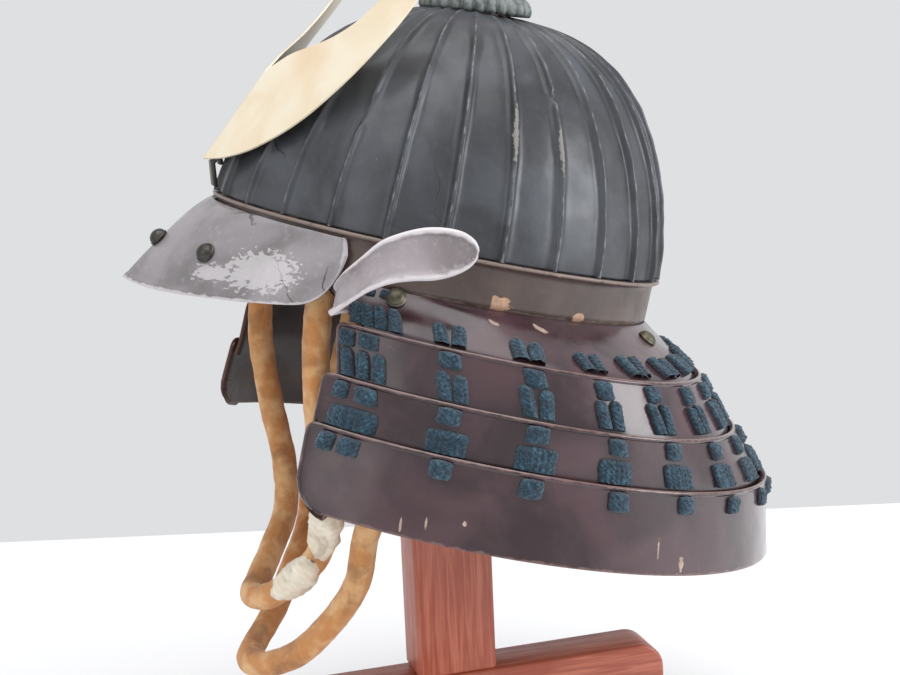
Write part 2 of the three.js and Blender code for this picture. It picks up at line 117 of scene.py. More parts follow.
def curve_at(rows: Sequence[Sequence[float]], share: float) -> list[float]:
    """Reads a table as a smooth curve through its rows.

    Args:
        rows: equally long rows of numbers.
        share: place along the table from 0 to 1.

    Returns:
        One number for each column.
    """
    at = clamp(share) * (len(rows) - 1)
    i = min(int(at), len(rows) - 2)
    t = at - i
    a, b, c, d = (rows[int(clamp(k, 0, len(rows) - 1))] for k in (i - 1, i, i + 1, i + 2))
    return [
        q + 0.5 * t * (r - p + t * (2 * p - 5 * q + 4 * r - s + t * (3 * (q - r) + s - p)))
        for p, q, r, s in zip(a, b, c, d)
    ]


def stations(length: float, fine: Sequence[float], coarse: float, both: bool) -> list[float]:
    """Lists places along a length, close together at its start and wider apart after.

    Args:
        length: the whole length.
        fine: the first places, rising from 0.
        coarse: the widest step after them.
        both: whether the end is as fine as the start.
    """
    first = list(fine)
    last = [length - f for f in reversed(fine)] if both else [length]
    gap = last[0] - first[-1]
    count = max(1, math.ceil(gap / coarse))
    middle = [first[-1] + gap * k / count for k in range(1, count)]
    return first + middle + last


# ---- Mesh building ----
def sheet_mesh(across: Sequence[float], down: Sequence[float], place: Place,
               mark: Callable[[float, float], float] | None = None,
               closed: bool = False) -> bmesh.types.BMesh:
    """Makes a grid whose crossings are placed by a rule.

    Args:
        across: stations along the sheet, used for the map's first number.
        down: stations down the sheet, used for the map's second number.
        place: rule from an across and a down station to a point in millimetres.
        mark: rule for the stored distance to the nearest edge or ridge.
        closed: whether the last column meets the first.

    Returns:
        The mesh, with a map in millimetres and a float "edge" for each corner.
    """
    bm = bmesh.new()
    size = 1.0
    bmesh.ops.create_grid(bm, x_segments=len(across) - 1, y_segments=len(down) - 1, size=size)
    edge = bm.verts.layers.float.new("edge")
    chart = bm.loops.layers.uv.new("map")
    where: dict[bmesh.types.BMVert, tuple[float, float]] = {}
    for vert in bm.verts:
        i = round((vert.co.x + size) / (2 * size) * (len(across) - 1))
        j = round((vert.co.y + size) / (2 * size) * (len(down) - 1))
        a, d = across[i], down[j]
        where[vert] = (a, d)
        vert.co = place(a, d)
        vert[edge] = mark(a, d) if mark else 99.0
    for face in bm.faces:
        for loop in face.loops:
            loop[chart].uv = where[loop.vert]
    if closed:
        bmesh.ops.remove_doubles(bm, verts=bm.verts, dist=1e-4)
        bmesh.ops.recalc_face_normals(bm, faces=bm.faces)
    return bm


def face_away(bm: bmesh.types.BMesh, inside: Vector) -> None:
    """Turns a sheet's faces to look away from a point.

    Args:
        bm: the mesh.
        inside: a point on the side that the faces turn from.
    """
    bm.normal_update()
    total = sum(f.normal.dot(f.calc_center_median() - inside) * f.calc_area() for f in bm.faces)
    if total < 0:
        bmesh.ops.reverse_faces(bm, faces=bm.faces)


def rechart(bm: bmesh.types.BMesh,
            rule: Callable[[float, float], tuple[float, float]]) -> None:
    """Redraws a sheet's map, from its stations to millimetres.

    Args:
        bm: the sheet.
        rule: turns an across and a down station into two lengths.
    """
    chart = bm.loops.layers.uv["map"]
    for face in bm.faces:
        for loop in face.loops:
            loop[chart].uv = rule(*loop[chart].uv)


def join(target: bmesh.types.BMesh, part: bmesh.types.BMesh) -> None:
    """Adds a mesh to another that has the same layers, and frees it.

    Args:
        target: the mesh that grows.
        part: the mesh that is added and then freed.
    """
    mesh = bpy.data.meshes.new("part")
    part.to_mesh(mesh)
    part.free()
    target.from_mesh(mesh)
    bpy.data.meshes.remove(mesh)


@dataclass
class Piece:
    """One visible piece: its mesh in millimetres, finishes, and the solids it stands for."""

    name: str
    bm: bmesh.types.BMesh
    materials: Sequence[bpy.types.Material]
    slot: Slot
    stands_for: Sequence[str] = ()
    frame: Matrix = field(default_factory=lambda: HELMET)
    wall: float = 0.0
    bevel: float = 0.0

    def build(self) -> bpy.types.Object:
        """Makes the object, gives it its wall and edges, and lets it ride on the body."""
        bmesh.ops.transform(self.bm, matrix=self.frame, verts=self.bm.verts)
        mesh = bpy.data.meshes.new(self.name)
        self.bm.to_mesh(mesh)
        self.bm.free()
        for material in self.materials:
            mesh.materials.append(material)
        mesh.shade_smooth()
        piece = bpy.data.objects.new(self.name, mesh)
        bpy.context.scene.collection.objects.link(piece)
        if self.wall:
            solid = piece.modifiers.new("wall", "SOLIDIFY")
            solid.thickness = self.wall * MM
            solid.offset = -1
            solid.use_quality_normals = True
            solid.material_offset = len(self.materials) - 1
        if self.bevel:
            bevel = piece.modifiers.new("soft_edges", "BEVEL")
            bevel.width = self.bevel * MM
            bevel.segments = 2
            bevel.limit_method = "ANGLE"
            bevel.angle_limit = math.radians(42)
            bevel.harden_normals = True
        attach(piece, "root")
        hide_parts(*self.stands_for)
        LOG.info("%s: %d faces", self.name, len(mesh.polygons))
        return piece


# ---- Finishes ----
def linear(code: str) -> tuple[float, float, float, float]:
    """Turns an sRGB hex code into linear red, green, blue and full alpha.

    Args:
        code: the colour as #rrggbb.
    """
    parts = [int(code[k:k + 2], 16) / 255 for k in (1, 3, 5)]
    red, green, blue = (
        p / 12.92 if p <= 0.04045 else ((p + 0.055) / 1.055) ** 2.4 for p in parts
    )
    return red, green, blue, 1.0


class Wiring:
    """The node tree of one material, wired by short calls that return sockets."""

    def __init__(self, name: str) -> None:
        """Starts a material with one principled shader.

        Args:
            name: the name it gets.
        """
        self.material = bpy.data.materials.new(name)
        self.material.use_nodes = True
        self.tree = self.material.node_tree
        self.tree.nodes.clear()
        self.skin = self.add("ShaderNodeBsdfPrincipled")
        self.add("ShaderNodeOutputMaterial", {"Surface": self.skin})
        self.space = self.add("ShaderNodeTexCoord").outputs["Object"]

    def add(self, kind: str, inputs: dict[str | int, Value] | None = None,
            **settings: object) -> bpy.types.Node:
        """Adds a node, sets its options, and sets or links its inputs.

        Args:
            kind: the node's type name.
            inputs: socket name or number to a constant, hex colour, node or socket.
            **settings: the node's own options.
        """
        node = self.tree.nodes.new(kind)
        for key, value in settings.items():
            setattr(node, key, value)
        for key, value in (inputs or {}).items():
            self.plug(node.inputs[key], value)
        return node

    def plug(self, socket: bpy.types.NodeSocket, value: Value) -> None:
        """Links a socket to a node or socket, or sets it to a constant or hex colour."""
        if isinstance(value, bpy.types.Node):
            value = value.outputs[0]
        if isinstance(value, bpy.types.NodeSocket):
            self.tree.links.new(value, socket)
        else:
            socket.default_value = linear(value) if isinstance(value, str) else value

    def noise(self, size: float, detail: float = 3.0, vector: Value | None = None,
              stretch: Sequence[float] = (1, 1, 1), bend: float = 0.0) -> bpy.types.NodeSocket:
        """Returns noise with features about size millimetres across.

        Args:
            size: feature size in millimetres.
            detail: how many finer layers it has.
            vector: coordinates in metres, the object's own by default.
            stretch: how much longer features are along each axis.
            bend: how much the pattern is distorted.
        """
        scale = [1 / s for s in stretch]
        at = self.add("ShaderNodeMapping", {"Vector": vector or self.space, "Scale": scale})
        return self.add("ShaderNodeTexNoise", {
            "Vector": at, "Scale": 1 / (size * MM), "Detail": detail, "Distortion": bend,
        }).outputs[0]

    def cracks(self, size: float, warp: float = 0.35) -> bpy.types.NodeSocket:
        """Returns the distance to the nearest of a net of cracks, 0 on a crack.

        Args:
            size: width of one cracked plate in millimetres.
            warp: how crooked the cracks are, as a share of size.
        """
        wobble = self.add("ShaderNodeTexNoise", {
            "Vector": self.space, "Scale": 2 / (size * MM), "Detail": 3.0,
        }).outputs[1]
        moved = self.add("ShaderNodeVectorMath", {
            0: wobble, 1: (warp * size * MM,) * 3, 2: self.space,
        }, operation="MULTIPLY_ADD")
        return self.add("ShaderNodeTexVoronoi", {
            "Vector": moved, "Scale": 1 / (size * MM),
        }, feature="DISTANCE_TO_EDGE").outputs[0]

    def mask(self, value: Value, low: float, high: float) -> bpy.types.NodeSocket:
        """Returns a smooth step from 0 at low to 1 at high, either way round.

        Args:
            value: what is compared.
            low: where the step starts.
            high: where the step ends.
        """
        ends = (low, high, 0.0, 1.0) if low < high else (high, low, 1.0, 0.0)
        keys = ("From Min", "From Max", "To Min", "To Max")
        return self.add("ShaderNodeMapRange", {"Value": value, **dict(zip(keys, ends))},
                        interpolation_type="SMOOTHSTEP").outputs[0]

    def sum(self, operation: str, a: Value, b: Value = 0.0) -> bpy.types.NodeSocket:
        """Returns a sum such as ADD, MULTIPLY or MAXIMUM of two values."""
        return self.add("ShaderNodeMath", {0: a, 1: b}, operation=operation).outputs[0]

    def blend(self, factor: Value, a: Value, b: Value) -> bpy.types.NodeSocket:
        """Returns colour a turning into colour b by factor."""
        return self.add("ShaderNodeMix", {0: factor, 6: a, 7: b}, data_type="RGBA").outputs[2]

    def range(self, factor: Value, a: float, b: float) -> bpy.types.NodeSocket:
        """Returns a number going from a to b by factor."""
        return self.add("ShaderNodeMix", {0: factor, 2: a, 3: b}).outputs[0]

    def edge(self) -> bpy.types.NodeSocket:
        """Returns the stored distance to the nearest edge in millimetres."""
        return self.add("ShaderNodeAttribute", attribute_name="edge").outputs["Fac"]

    def chart(self) -> bpy.types.NodeSocket:
        """Returns the piece's map coordinates, in millimetres."""
        return self.add("ShaderNodeUVMap", uv_map="map").outputs[0]

    def spots(self, places: Sequence[Spot], ragged: float = 0.5) -> bpy.types.NodeSocket:
        """Returns a mask of ragged spots at places on the piece's map.

        Args:
            places: the spots.
            ragged: how uneven their outlines are.
        """
        chart = self.chart()
        chart_m = self.add("ShaderNodeVectorMath", {0: chart, "Scale": MM}, operation="SCALE")
        edge = self.noise(2.6, 4, chart_m)
        total: Value = 0.0
        for spot in places:
            near = self.add("ShaderNodeMapping", {
                "Vector": chart, "Location": (-spot.across, -spot.down, 0),
            })
            scaled = self.add("ShaderNodeVectorMath", {
                0: near, 1: (1 / spot.width, 1 / spot.height, 0),
            }, operation="MULTIPLY")
            length = self.add("ShaderNodeVectorMath", {0: scaled}, operation="LENGTH").outputs[1]
            rim = self.sum("ADD", length, self.range(edge, -ragged, ragged))
            total = self.sum("MAXIMUM", total, self.mask(rim, 1.02, 0.92))
        return total

    def bump(self, height: Value, millimetres: float,
             below: bpy.types.Node | None = None) -> bpy.types.Node:
        """Adds relief of a given full depth over what is below.

        Args:
            height: the relief, from 0 to 1.
            millimetres: its full depth, below 0 for a hollow.
            below: the relief that it lies on.
        """
        inputs: dict[str | int, Value] = {
            "Height": height, "Strength": 1.0, "Distance": millimetres * MM,
        }
        if below:
            inputs["Normal"] = below
        return self.add("ShaderNodeBump", inputs)

    def done(self, colour: Value, roughness: Value, normal: Value | None = None,
             **constants: float) -> bpy.types.Material:
        """Joins the last values to the shader and returns the material.

        Args:
            colour: its colour.
            roughness: its roughness.
            normal: its relief.
            **constants: other inputs of the shader, with _ for a space.
        """
        self.plug(self.skin.inputs["Base Color"], colour)
        self.plug(self.skin.inputs["Roughness"], roughness)
        if normal is not None:
            self.plug(self.skin.inputs["Normal"], normal)
        for key, value in constants.items():
            self.plug(self.skin.inputs[key.replace("_", " ").title()], value)
        return self.material


@dataclass(frozen=True)
class Spot:
    """A ragged spot on a piece's map: its middle and half sizes in millimetres."""

    across: float
    down: float
    width: float
    height: float


@dataclass(frozen=True)
class Lacquer:
    """Old lacquer: dark gloss gone dull in clouds, cracked, scratched, its edges pale from wear
    and painted highlight.
    """

    name: str
    colour: str
    cloud: str
    # pale colour of rubbed edges, on some pieces also a painted highlight
    rubbed: str
    ground: str
    roughness: float = 0.32
    dull: float = 0.5
    crack_size: float = 34.0
    crack_share: float = 0.45
    edge_width: float = 1.6
    flakes: tuple[Spot, ...] = ()
    dark_spots: tuple[Spot, ...] = ()
    pale_spots: tuple[Spot, ...] = ()
    wrinkle: float = 0.12
    speckle: float = 0.1
    coat: float = 0.3

    def build(self) -> bpy.types.Material:
        """Wires clouds, cracks, scratches and pale edges, from wear and painted highlight, over
        the lacquer's colour.
        """
        w = Wiring(self.name)
        clouds = w.noise(38, 4, bend=0.6)
        fine = w.noise(3.2, 5)
        colour = w.blend(w.mask(clouds, 0.36, 0.68), self.colour, self.cloud)
        colour = w.blend(w.sum("MULTIPLY", w.mask(fine, 0.52, 0.8), self.speckle), colour,
                         self.rubbed)

        net = w.cracks(self.crack_size)
        here = w.mask(w.noise(55, 2), 1 - self.crack_share, 1.08 - self.crack_share)
        crack = w.sum("MULTIPLY", w.mask(net, 0.016, 0.002), here)
        colour = w.blend(w.sum("MULTIPLY", crack, 0.75), colour, "#15100f")

        scratch = w.sum("MULTIPLY", w.mask(w.noise(1.0, 2, stretch=(1, 1, 26)), 0.7, 0.76),
                        w.mask(w.noise(30, 2), 0.55, 0.62))
        colour = w.blend(w.sum("MULTIPLY", scratch, 0.5), colour, self.rubbed)

        # Pale edges: wear on every piece, and on the leaf's rim and the bowl's seam ridges also a
        # painted highlight.
        reach = w.sum("ADD", w.edge(), w.range(w.noise(5, 4), -1.6, 1.6))
        wear_and_highlight = w.mask(reach, self.edge_width, self.edge_width * 0.3)
        colour = w.blend(w.sum("MULTIPLY", wear_and_highlight, 0.8), colour, self.rubbed)
        bare = w.mask(w.sum("ADD", w.edge(), w.range(w.noise(9, 5), -3.2, 3.2)), -1.0, -1.3)
        loss: Value = bare
        if self.flakes:
            loss = w.sum("MAXIMUM", bare, w.spots(self.flakes, 0.9))
        colour = w.blend(loss, colour, w.blend(w.noise(2, 3), self.ground, self.rubbed))
        if self.dark_spots:
            colour = w.blend(w.sum("MULTIPLY", w.spots(self.dark_spots), 0.85), colour, "#2a1416")
        if self.pale_spots:
            colour = w.blend(w.sum("MULTIPLY", w.spots(self.pale_spots, 1.3), 0.45), colour,
                             "#e2dedf")

        dullness = w.mask(w.noise(17, 5), 0.35, 0.7)
        roughness = w.range(dullness, self.roughness, self.dull)
        roughness = w.range(loss, roughness, 0.8)
        relief = w.bump(w.noise(6, 4), self.wrinkle)
        relief = w.bump(w.noise(0.5, 2), 0.012, relief)
        relief = w.bump(crack, -0.22, relief)
        relief = w.bump(loss, -0.25, relief)
        return w.done(colour, roughness, relief, coat_weight=self.coat, coat_roughness=0.16)


@dataclass(frozen=True)
class Metal:
    """Old metal with tarnish and stains in random clouds, and fine hair scratches."""

    name: str
    colour: str
    tarnish: str
    stain: str
    roughness: float = 0.35
    metallic: float = 0.85
    patch: float = 9.0
    scratch: float = 0.4

    def build(self) -> bpy.types.Material:
        """Wires tarnish, stains and hair scratches over the metal's colour."""
        w = Wiring(self.name)
        clouds = w.noise(self.patch, 5, bend=0.4)
        colour = w.blend(w.mask(clouds, 0.42, 0.7), self.colour, self.tarnish)
        colour = w.blend(w.sum("MULTIPLY", w.mask(w.noise(self.patch * 3, 3), 0.52, 0.75), 0.6),
                         colour, self.stain)
        hair = w.mask(w.noise(0.5, 2, stretch=(14, 1, 1)), 0.62, 0.72)
        colour = w.blend(w.sum("MULTIPLY", hair, self.scratch * 0.5), colour, self.stain)
        roughness = w.range(w.noise(2.2, 4), self.roughness * 0.75, self.roughness * 1.45)
        relief = w.bump(clouds, 0.08)
        relief = w.bump(hair, -0.02 * self.scratch, relief)
        return w.done(colour, roughness, relief, metallic=self.metallic)


@dataclass(frozen=True)
class Braid:
    """Silk braid in herringbone plies, with pale patches, painted highlights and painted shade.
    """

    name: str
    colour: str
    # paler blue, partly fading and partly painted highlight
    fade_and_highlight: str
    # painted shade in the grooves, in the hollows between clumps and along the sides
    deep: str

    def build(self) -> bpy.types.Material:
        """Wires plies on the strand's own map, with fuzz, pale patches, painted highlights and
        shade.
        """
        w = Wiring(self.name)
        chart = w.add("ShaderNodeSeparateXYZ", {0: w.chart()})
        slant = w.sum("ABSOLUTE", chart.outputs[0])
        phase = w.sum("ADD", w.sum("MULTIPLY", slant, 2.2),
                      w.sum("MULTIPLY", chart.outputs[1], 2.6))
        ply = w.sum("SINE", w.sum("ADD", phase, w.range(w.noise(1.3, 3), -4.5, 4.5)))
        ply = w.mask(ply, -0.9, 0.9)
        clumps = w.mask(w.noise(1.5, 4, bend=0.8), 0.36, 0.66)
        # Broad pale patches: partly fading, partly painted highlight.
        colour = w.blend(w.sum("MULTIPLY", w.mask(w.noise(6, 3), 0.42, 0.7), 0.6), self.colour,
                         self.fade_and_highlight)
        # Painted shade in the grooves between plies and in the hollows between clumps.
        colour = w.blend(w.range(ply, 0.5, 1.0), self.deep, colour)
        colour = w.blend(w.range(clumps, 0.25, 1.0), self.deep, colour)
        # Painted highlights: fine specks of the paler blue on the fibres.
        colour = w.blend(w.sum("MULTIPLY", w.mask(w.noise(0.6, 3), 0.58, 0.7), 0.45), colour,
                         self.fade_and_highlight)
        # Painted shade along the strand's sides, where it meets the row.
        colour = w.blend(w.mask(w.edge(), 0.9, 0.1), colour, self.deep)
        relief = w.bump(clumps, 0.5)
        relief = w.bump(ply, 0.2, relief)
        relief = w.bump(w.noise(0.35, 2), 0.12, relief)
        return w.done(colour, 0.78, relief, sheen_weight=0.25, sheen_roughness=0.5)


@dataclass(frozen=True)
class Cloth:
    """Plain cotton cloth over a soft core, grimed and pilled with handling."""

    name: str
    colour: str
    pale: str
    grime: str
    weave: float = 0.55
    fuzz: float = 0.12

    def build(self) -> bpy.types.Material:
        """Wires weave, wrinkles, pills and grime."""
        w = Wiring(self.name)
        chart = w.add("ShaderNodeSeparateXYZ", {0: w.chart()})
        warp = w.sum("SINE", w.sum("MULTIPLY", chart.outputs[0], math.tau / self.weave))
        weft = w.sum("SINE", w.sum("MULTIPLY", chart.outputs[1], math.tau / self.weave))
        weave = w.mask(w.sum("MULTIPLY", warp, weft), -0.8, 0.8)
        colour = w.blend(w.mask(w.noise(11, 4), 0.4, 0.66), self.colour, self.pale)
        colour = w.blend(w.sum("MULTIPLY", w.mask(w.noise(16, 5, bend=0.8), 0.5, 0.7), 0.7),
                         colour, self.grime)
        colour = w.blend(w.sum("MULTIPLY", weave, 0.16), colour, self.grime)
        relief = w.bump(weave, 0.06)
        relief = w.bump(w.noise(2.4, 4), 0.5, relief)
        relief = w.bump(w.noise(0.5, 3), self.fuzz, relief)
        return w.done(colour, 0.92, relief, sheen_weight=0.2, sheen_roughness=0.6)


@dataclass(frozen=True)
class Wood:
    """Stained softwood with the grain running along one axis, under a thin dull varnish."""

    name: str
    colour: str
    dark: str
    along: tuple[float, float, float]

    def build(self) -> bpy.types.Material:
        """Wires long grain, pores and rubbed varnish."""
        w = Wiring(self.name)
        grain = w.noise(2.4, 5, stretch=self.along, bend=0.5)
        pores = w.noise(0.5, 2, stretch=tuple(3 * a if a > 1 else a for a in self.along))
        colour = w.blend(w.mask(grain, 0.38, 0.66), self.dark, self.colour)
        colour = w.blend(w.sum("MULTIPLY", w.mask(pores, 0.58, 0.66), 0.4), colour, self.dark)
        colour = w.blend(w.sum("MULTIPLY", w.mask(w.noise(28, 3), 0.45, 0.75), 0.25), colour,
                         "#c98a70")
        roughness = w.range(w.noise(9, 4), 0.3, 0.5)
        relief = w.bump(grain, 0.05)
        relief = w.bump(w.mask(pores, 0.5, 0.66), -0.05, relief)
        return w.done(colour, roughness, relief, coat_weight=0.15, coat_roughness=0.3)


# ---- Camera, light and floor ----
@dataclass(frozen=True)
class Studio:
    """The camera, a plain pale floor under a pale sky, and soft light."""

    distance: float = 900.0
    azimuth: float = 74.0
    height: float = 136.3
    look_azimuth: float = 73.8
    look_down: float = 12.05
    roll: float = 2.5
    lens: float = 71.28
    floor_behind: float = 0.46  # metres from the middle to the floor's far edge
    floor_half: float = 4.0

    def camera(self) -> None:
        """Adds the camera at the helmet's left and a little above it."""
        turn = math.radians(self.azimuth)
        reach = math.sqrt(self.distance ** 2 - self.height ** 2)
        place = Vector((reach * math.sin(turn), -reach * math.cos(turn), self.height))
        yaw = math.radians(self.look_azimuth)
        pitch = math.radians(90 - self.look_down)
        data = bpy.data.cameras.new("camera")
        data.lens = self.lens
        data.sensor_width = 36
        camera = bpy.data.objects.new("camera", data)
        camera.matrix_world = (
            Matrix.Translation(STANDING @ place)
            @ Matrix.Rotation(yaw, 4, "Z")
            @ Matrix.Rotation(pitch, 4, "X")
            @ Matrix.Rotation(math.radians(-self.roll), 4, "Z")
        )
        bpy.context.scene.collection.objects.link(camera)
        bpy.context.scene.camera = camera

    def lamp(self, name: str, place: Sequence[float], aim: Sequence[float], size: float,
             power: float, colour: str = "#ffffff") -> None:
        """Adds a square soft lamp.

        Args:
            name: the lamp's name.
            place: its middle in metres.
            aim: the point it faces, in metres.
            size: its side in metres.
            power: in watts.
            colour: its tint.
        """
        data = bpy.data.lights.new(name, "AREA")
        data.size = size
        data.energy = power
        data.color = linear(colour)[:3]
        lamp = bpy.data.objects.new(name, data)
        turn = (Vector(aim) - Vector(place)).to_track_quat("-Z", "Y")
        lamp.matrix_world = Matrix.Translation(place) @ turn.to_matrix().to_4x4()
        bpy.context.scene.collection.objects.link(lamp)

    def room(self) -> None:
        """Adds the floor, which ends a little way behind the helmet, and the light."""
        floor = self.plain_sheet("floor", "#f4f4f5", 0.9)
        turn = math.radians(self.look_azimuth)
        away = Vector((-math.sin(turn), math.cos(turn), 0))
        floor.matrix_world = (
            Matrix.Translation(away * (self.floor_behind - self.floor_half))
            @ Matrix.Rotation(turn, 4, "Z")
            @ Matrix.Scale(self.floor_half, 4)
        )
        self.lamp("overhead", (0.25, 0.0, 1.45), (0, 0, 0.2), 1.4, 12)
        self.lamp("window", (0.75, 1.35, 0.6), (0, 0, 0.3), 0.8, 11, "#fbfdff")
        self.lamp("front_fill", (0.9, -1.3, 0.9), (0, 0, 0.3), 0.8, 2)
        world = bpy.data.worlds.new("daylight")
        world.use_nodes = True
        backdrop = world.node_tree.nodes["Background"]
        backdrop.inputs["Color"].default_value = linear("#e4e5e7")
        backdrop.inputs["Strength"].default_value = 0.95
        bpy.context.scene.world = world
        bpy.context.scene.view_settings.view_transform = "Standard"

    def plain_sheet(self, name: str, colour: str, roughness: float) -> bpy.types.Object:
        """Adds a flat square sheet two metres across with a plain finish.

        Args:
            name: the name it gets.
            colour: its colour.
            roughness: its roughness.
        """
        bm = bmesh.new()
        bmesh.ops.create_grid(bm, x_segments=1, y_segments=1, size=1)
        mesh = bpy.data.meshes.new(name)
        bm.to_mesh(mesh)
        bm.free()
        w = Wiring(f"{name}_paint")
        mesh.materials.append(w.done(colour, roughness))
        sheet = bpy.data.objects.new(name, mesh)
        bpy.context.scene.collection.objects.link(sheet)
        return sheet


# ---- Bowl and band ----
@dataclass(frozen=True)
class Bowl:
    """The domed bowl of narrow plates, each lapped over the next under a standing seam."""

    half_width: float = 98.0
    half_length: float = 113.0
    height: float = 112.5
    wall: float = 2.2
    plates: int = 26
    crown_hole: float = 0.17
    crown_shift: float = -6.0
    fullness: tuple[float, float, float] = (1.05, 0.75, 0.55)
    rise_power: float = 1.22
    seam_height: float = 2.5
    seam_width: float = 1.8
    # Broken seams: the seam's number, and the rise at which the break starts and ends.
    breaks: tuple[tuple[int, float, float], ...] = (
        (3, 0.37, 0.43), (7, 0.55, 0.57), (12, 0.42, 0.45),
    )

    def dome(self, angle: float, rise: float) -> Vector:
        """Returns a point of the plain dome.

        Args:
            angle: round the plan, 0 at the wearer's left and a quarter turn at the back.
            rise: 0 at the rim and 1 at the crown hole.
        """
        s = math.sin(angle)
        front, side, rear = self.fullness
        power = lerp(side, rear if s > 0 else front, s * s)
        climb = rise * math.acos(self.crown_hole ** (1 / power))
        spread = math.cos(climb) ** power
        height = math.sin(climb) ** self.rise_power
        return Vector((
            self.half_width * spread * math.cos(angle),
            self.half_length * spread * s + self.crown_shift * height * height,
            self.height * height,
        ))

    def normal(self, angle: float, rise: float) -> Vector:
        """Returns the dome's outward direction.

        Args:
            angle: round the plan in radians.
            rise: 0 at the rim and 1 at the crown hole.
        """
        step = 0.004
        low = max(rise - step, 0.0)
        turn = self.dome(angle + step, rise) - self.dome(angle - step, rise)
        return turn.cross(self.dome(angle, rise + step) - self.dome(angle, low)).normalized()

    def seam_gap(self, seam: int, rise: float) -> float:
        """Returns 1 where a seam stands whole and 0 where its lacquer is filled or broken."""
        for broken, low, high in self.breaks:
            if seam == broken:
                return 1 - smooth(low - 0.015, low, rise) * smooth(high + 0.015, high, rise)
        return 1.0

    def surface(self, angle: float, rise: float) -> Vector:
        """Returns a point of the lacquered plates, with seams and unevenness.

        Args:
            angle: round the plan in radians.
            rise: 0 at the rim and 1 at the crown hole.
        """
        pitch = math.tau / self.plates
        turns = (angle + math.pi / 2) / pitch - 0.5
        seam = round(turns)
        base = self.dome(angle, rise)
        middle = self.dome((seam + 0.5) * pitch - math.pi / 2, rise)
        reach = math.hypot(middle.x, middle.y - self.crown_shift * rise)
        off = (turns - seam) * pitch * reach
        off += 0.35 * rough(middle, 14, seam)
        width = min(self.seam_width, reach * pitch * 0.27)
        tall = self.seam_height * (0.86 + 0.22 * rough(middle, 9, seam * 0.3))
        tall *= clamp((1 - rise) / 0.3, 0.25, 1) * self.seam_gap(seam % self.plates, rise)
        lip = max(0.0, 1 - abs(off / width) ** 2.2) - 0.16 * math.exp(-((off / width + 1.5) ** 2))
        lap = 0.45 * smooth(-width, width * 0.4, off) * smooth(5, 1, off)
        wave = 0.3 * rough(base, 26, 3.1) + 0.1 * rough(base, 6, 5.2)
        out = tall * lip + lap * clamp((1 - rise) * 4) + wave
        point = base + self.normal(angle, rise) * (out - 0.25)
        point.z = max(point.z, 0.35)
        return point

    def build(self, finish: bpy.types.Material, lining: bpy.types.Material) -> None:
        """Builds the bowl as one sheet with a wall.

        Args:
            finish: the outer finish.
            lining: the finish inside.
        """
        pitch = math.tau / self.plates
        plain = (0.12, 0.2, 0.3, 0.4, 0.5)
        ribs = [0.0, 0.012, 0.024, 0.036, 0.05, 0.07]
        half = ribs + list(plain)
        around = sorted({round(s * f, 6) for f in half for s in (-1, 1)})
        angles = [
            (k + 0.5 + f) * pitch - math.pi / 2
            for k in range(self.plates) for f in around if f > -0.5
        ]
        angles.append(angles[0] + math.tau)
        rises = [k / 60 for k in range(61)]

        def mark(angle: float, rise: float) -> float:
            """Returns the distance from a seam or the rim, for wear and, on the seam ridges, a
            painted highlight.

            Args:
                angle: round the plan in radians.
                rise: 0 at the rim and 1 at the crown hole.
            """
            turns = (angle + math.pi / 2) / pitch - 0.5
            reach = self.half_width * math.cos(rise * 1.35)
            to_seam = abs(turns - round(turns)) * pitch * reach
            return min(to_seam * 1.6 + 0.5, rise * 150 + 0.4)

        bm = sheet_mesh(angles, rises, self.surface, mark, closed=True)
        rechart(bm, lambda angle, rise: (angle * 100, rise * 150))
        face_away(bm, Vector((0, 0, 30)))
        Piece("bowl_plates", bm, [finish, lining], Slot.BLACK, ["bowl"], wall=self.wall).build()


@dataclass(frozen=True)
class WaistBand:
    """The upright band round the bowl's foot, with a rolled lip under the plates."""

    half_width: float = 98.0
    half_length: float = 113.0
    height: float = 21.0
    wall: float = 2.2
    lip: float = 2.5

    def build(self, finish: bpy.types.Material) -> None:
        """Builds the band as a closed ring of a rounded profile.

        Args:
            finish: the outer finish.
        """
        inner = -0.6 - self.wall
        profile: list[tuple[float, float]] = [(inner, -0.1), (inner, -7), (inner, -14)]
        profile += [(inner, -self.height - 1.0), (inner + 0.4, -self.height - 1.3)]
        profile += [(-1.2, -self.height - 1.3), (-1.1, -self.height), (-0.6, -self.height + 0.4)]
        profile += [(-0.6, -self.height + k) for k in (2, 5, 9, 13, 16, 17.8)]
        for k in range(9):
            turn = math.radians(-80 + 160 * k / 8)
            profile.append((self.lip - 0.9 + 0.9 * math.cos(turn), -0.95 + 0.9 * math.sin(turn)))
        profile.append((inner, -0.1))
        steps = list(range(len(profile)))
        angles = [math.tau * k / 180 for k in range(181)]

        def place(angle: float, step: float) -> Vector:
            """Returns a point of the band's rounded profile.

            Args:
                angle: round the plan in radians.
                step: number of the profile's point.
            """
            out, z = profile[int(step)]
            base = Vector((math.cos(angle), math.sin(angle), 0))
            uneven = 0.18 * rough(base * 100, 22, 7.7) if -18 < z < -2 else 0.0
            return Vector((
                (self.half_width + out + uneven) * base.x,
                (self.half_length + out + uneven) * base.y,
                z,
            ))

        def mark(_: float, step: float) -> float:
            """Returns the distance from the band's lower edge or lip."""
            out, z = profile[int(step)]
            return min(z + self.height + 0.5, 0.0 if out > 1 else 9.0)

        bm = sheet_mesh(angles, steps, place, mark, closed=True)
        rechart(bm, lambda angle, step: (math.degrees(angle), profile[round(step)][1]))
        Piece("band_ring", bm, [finish], Slot.BAND, ["waist_band"]).build()


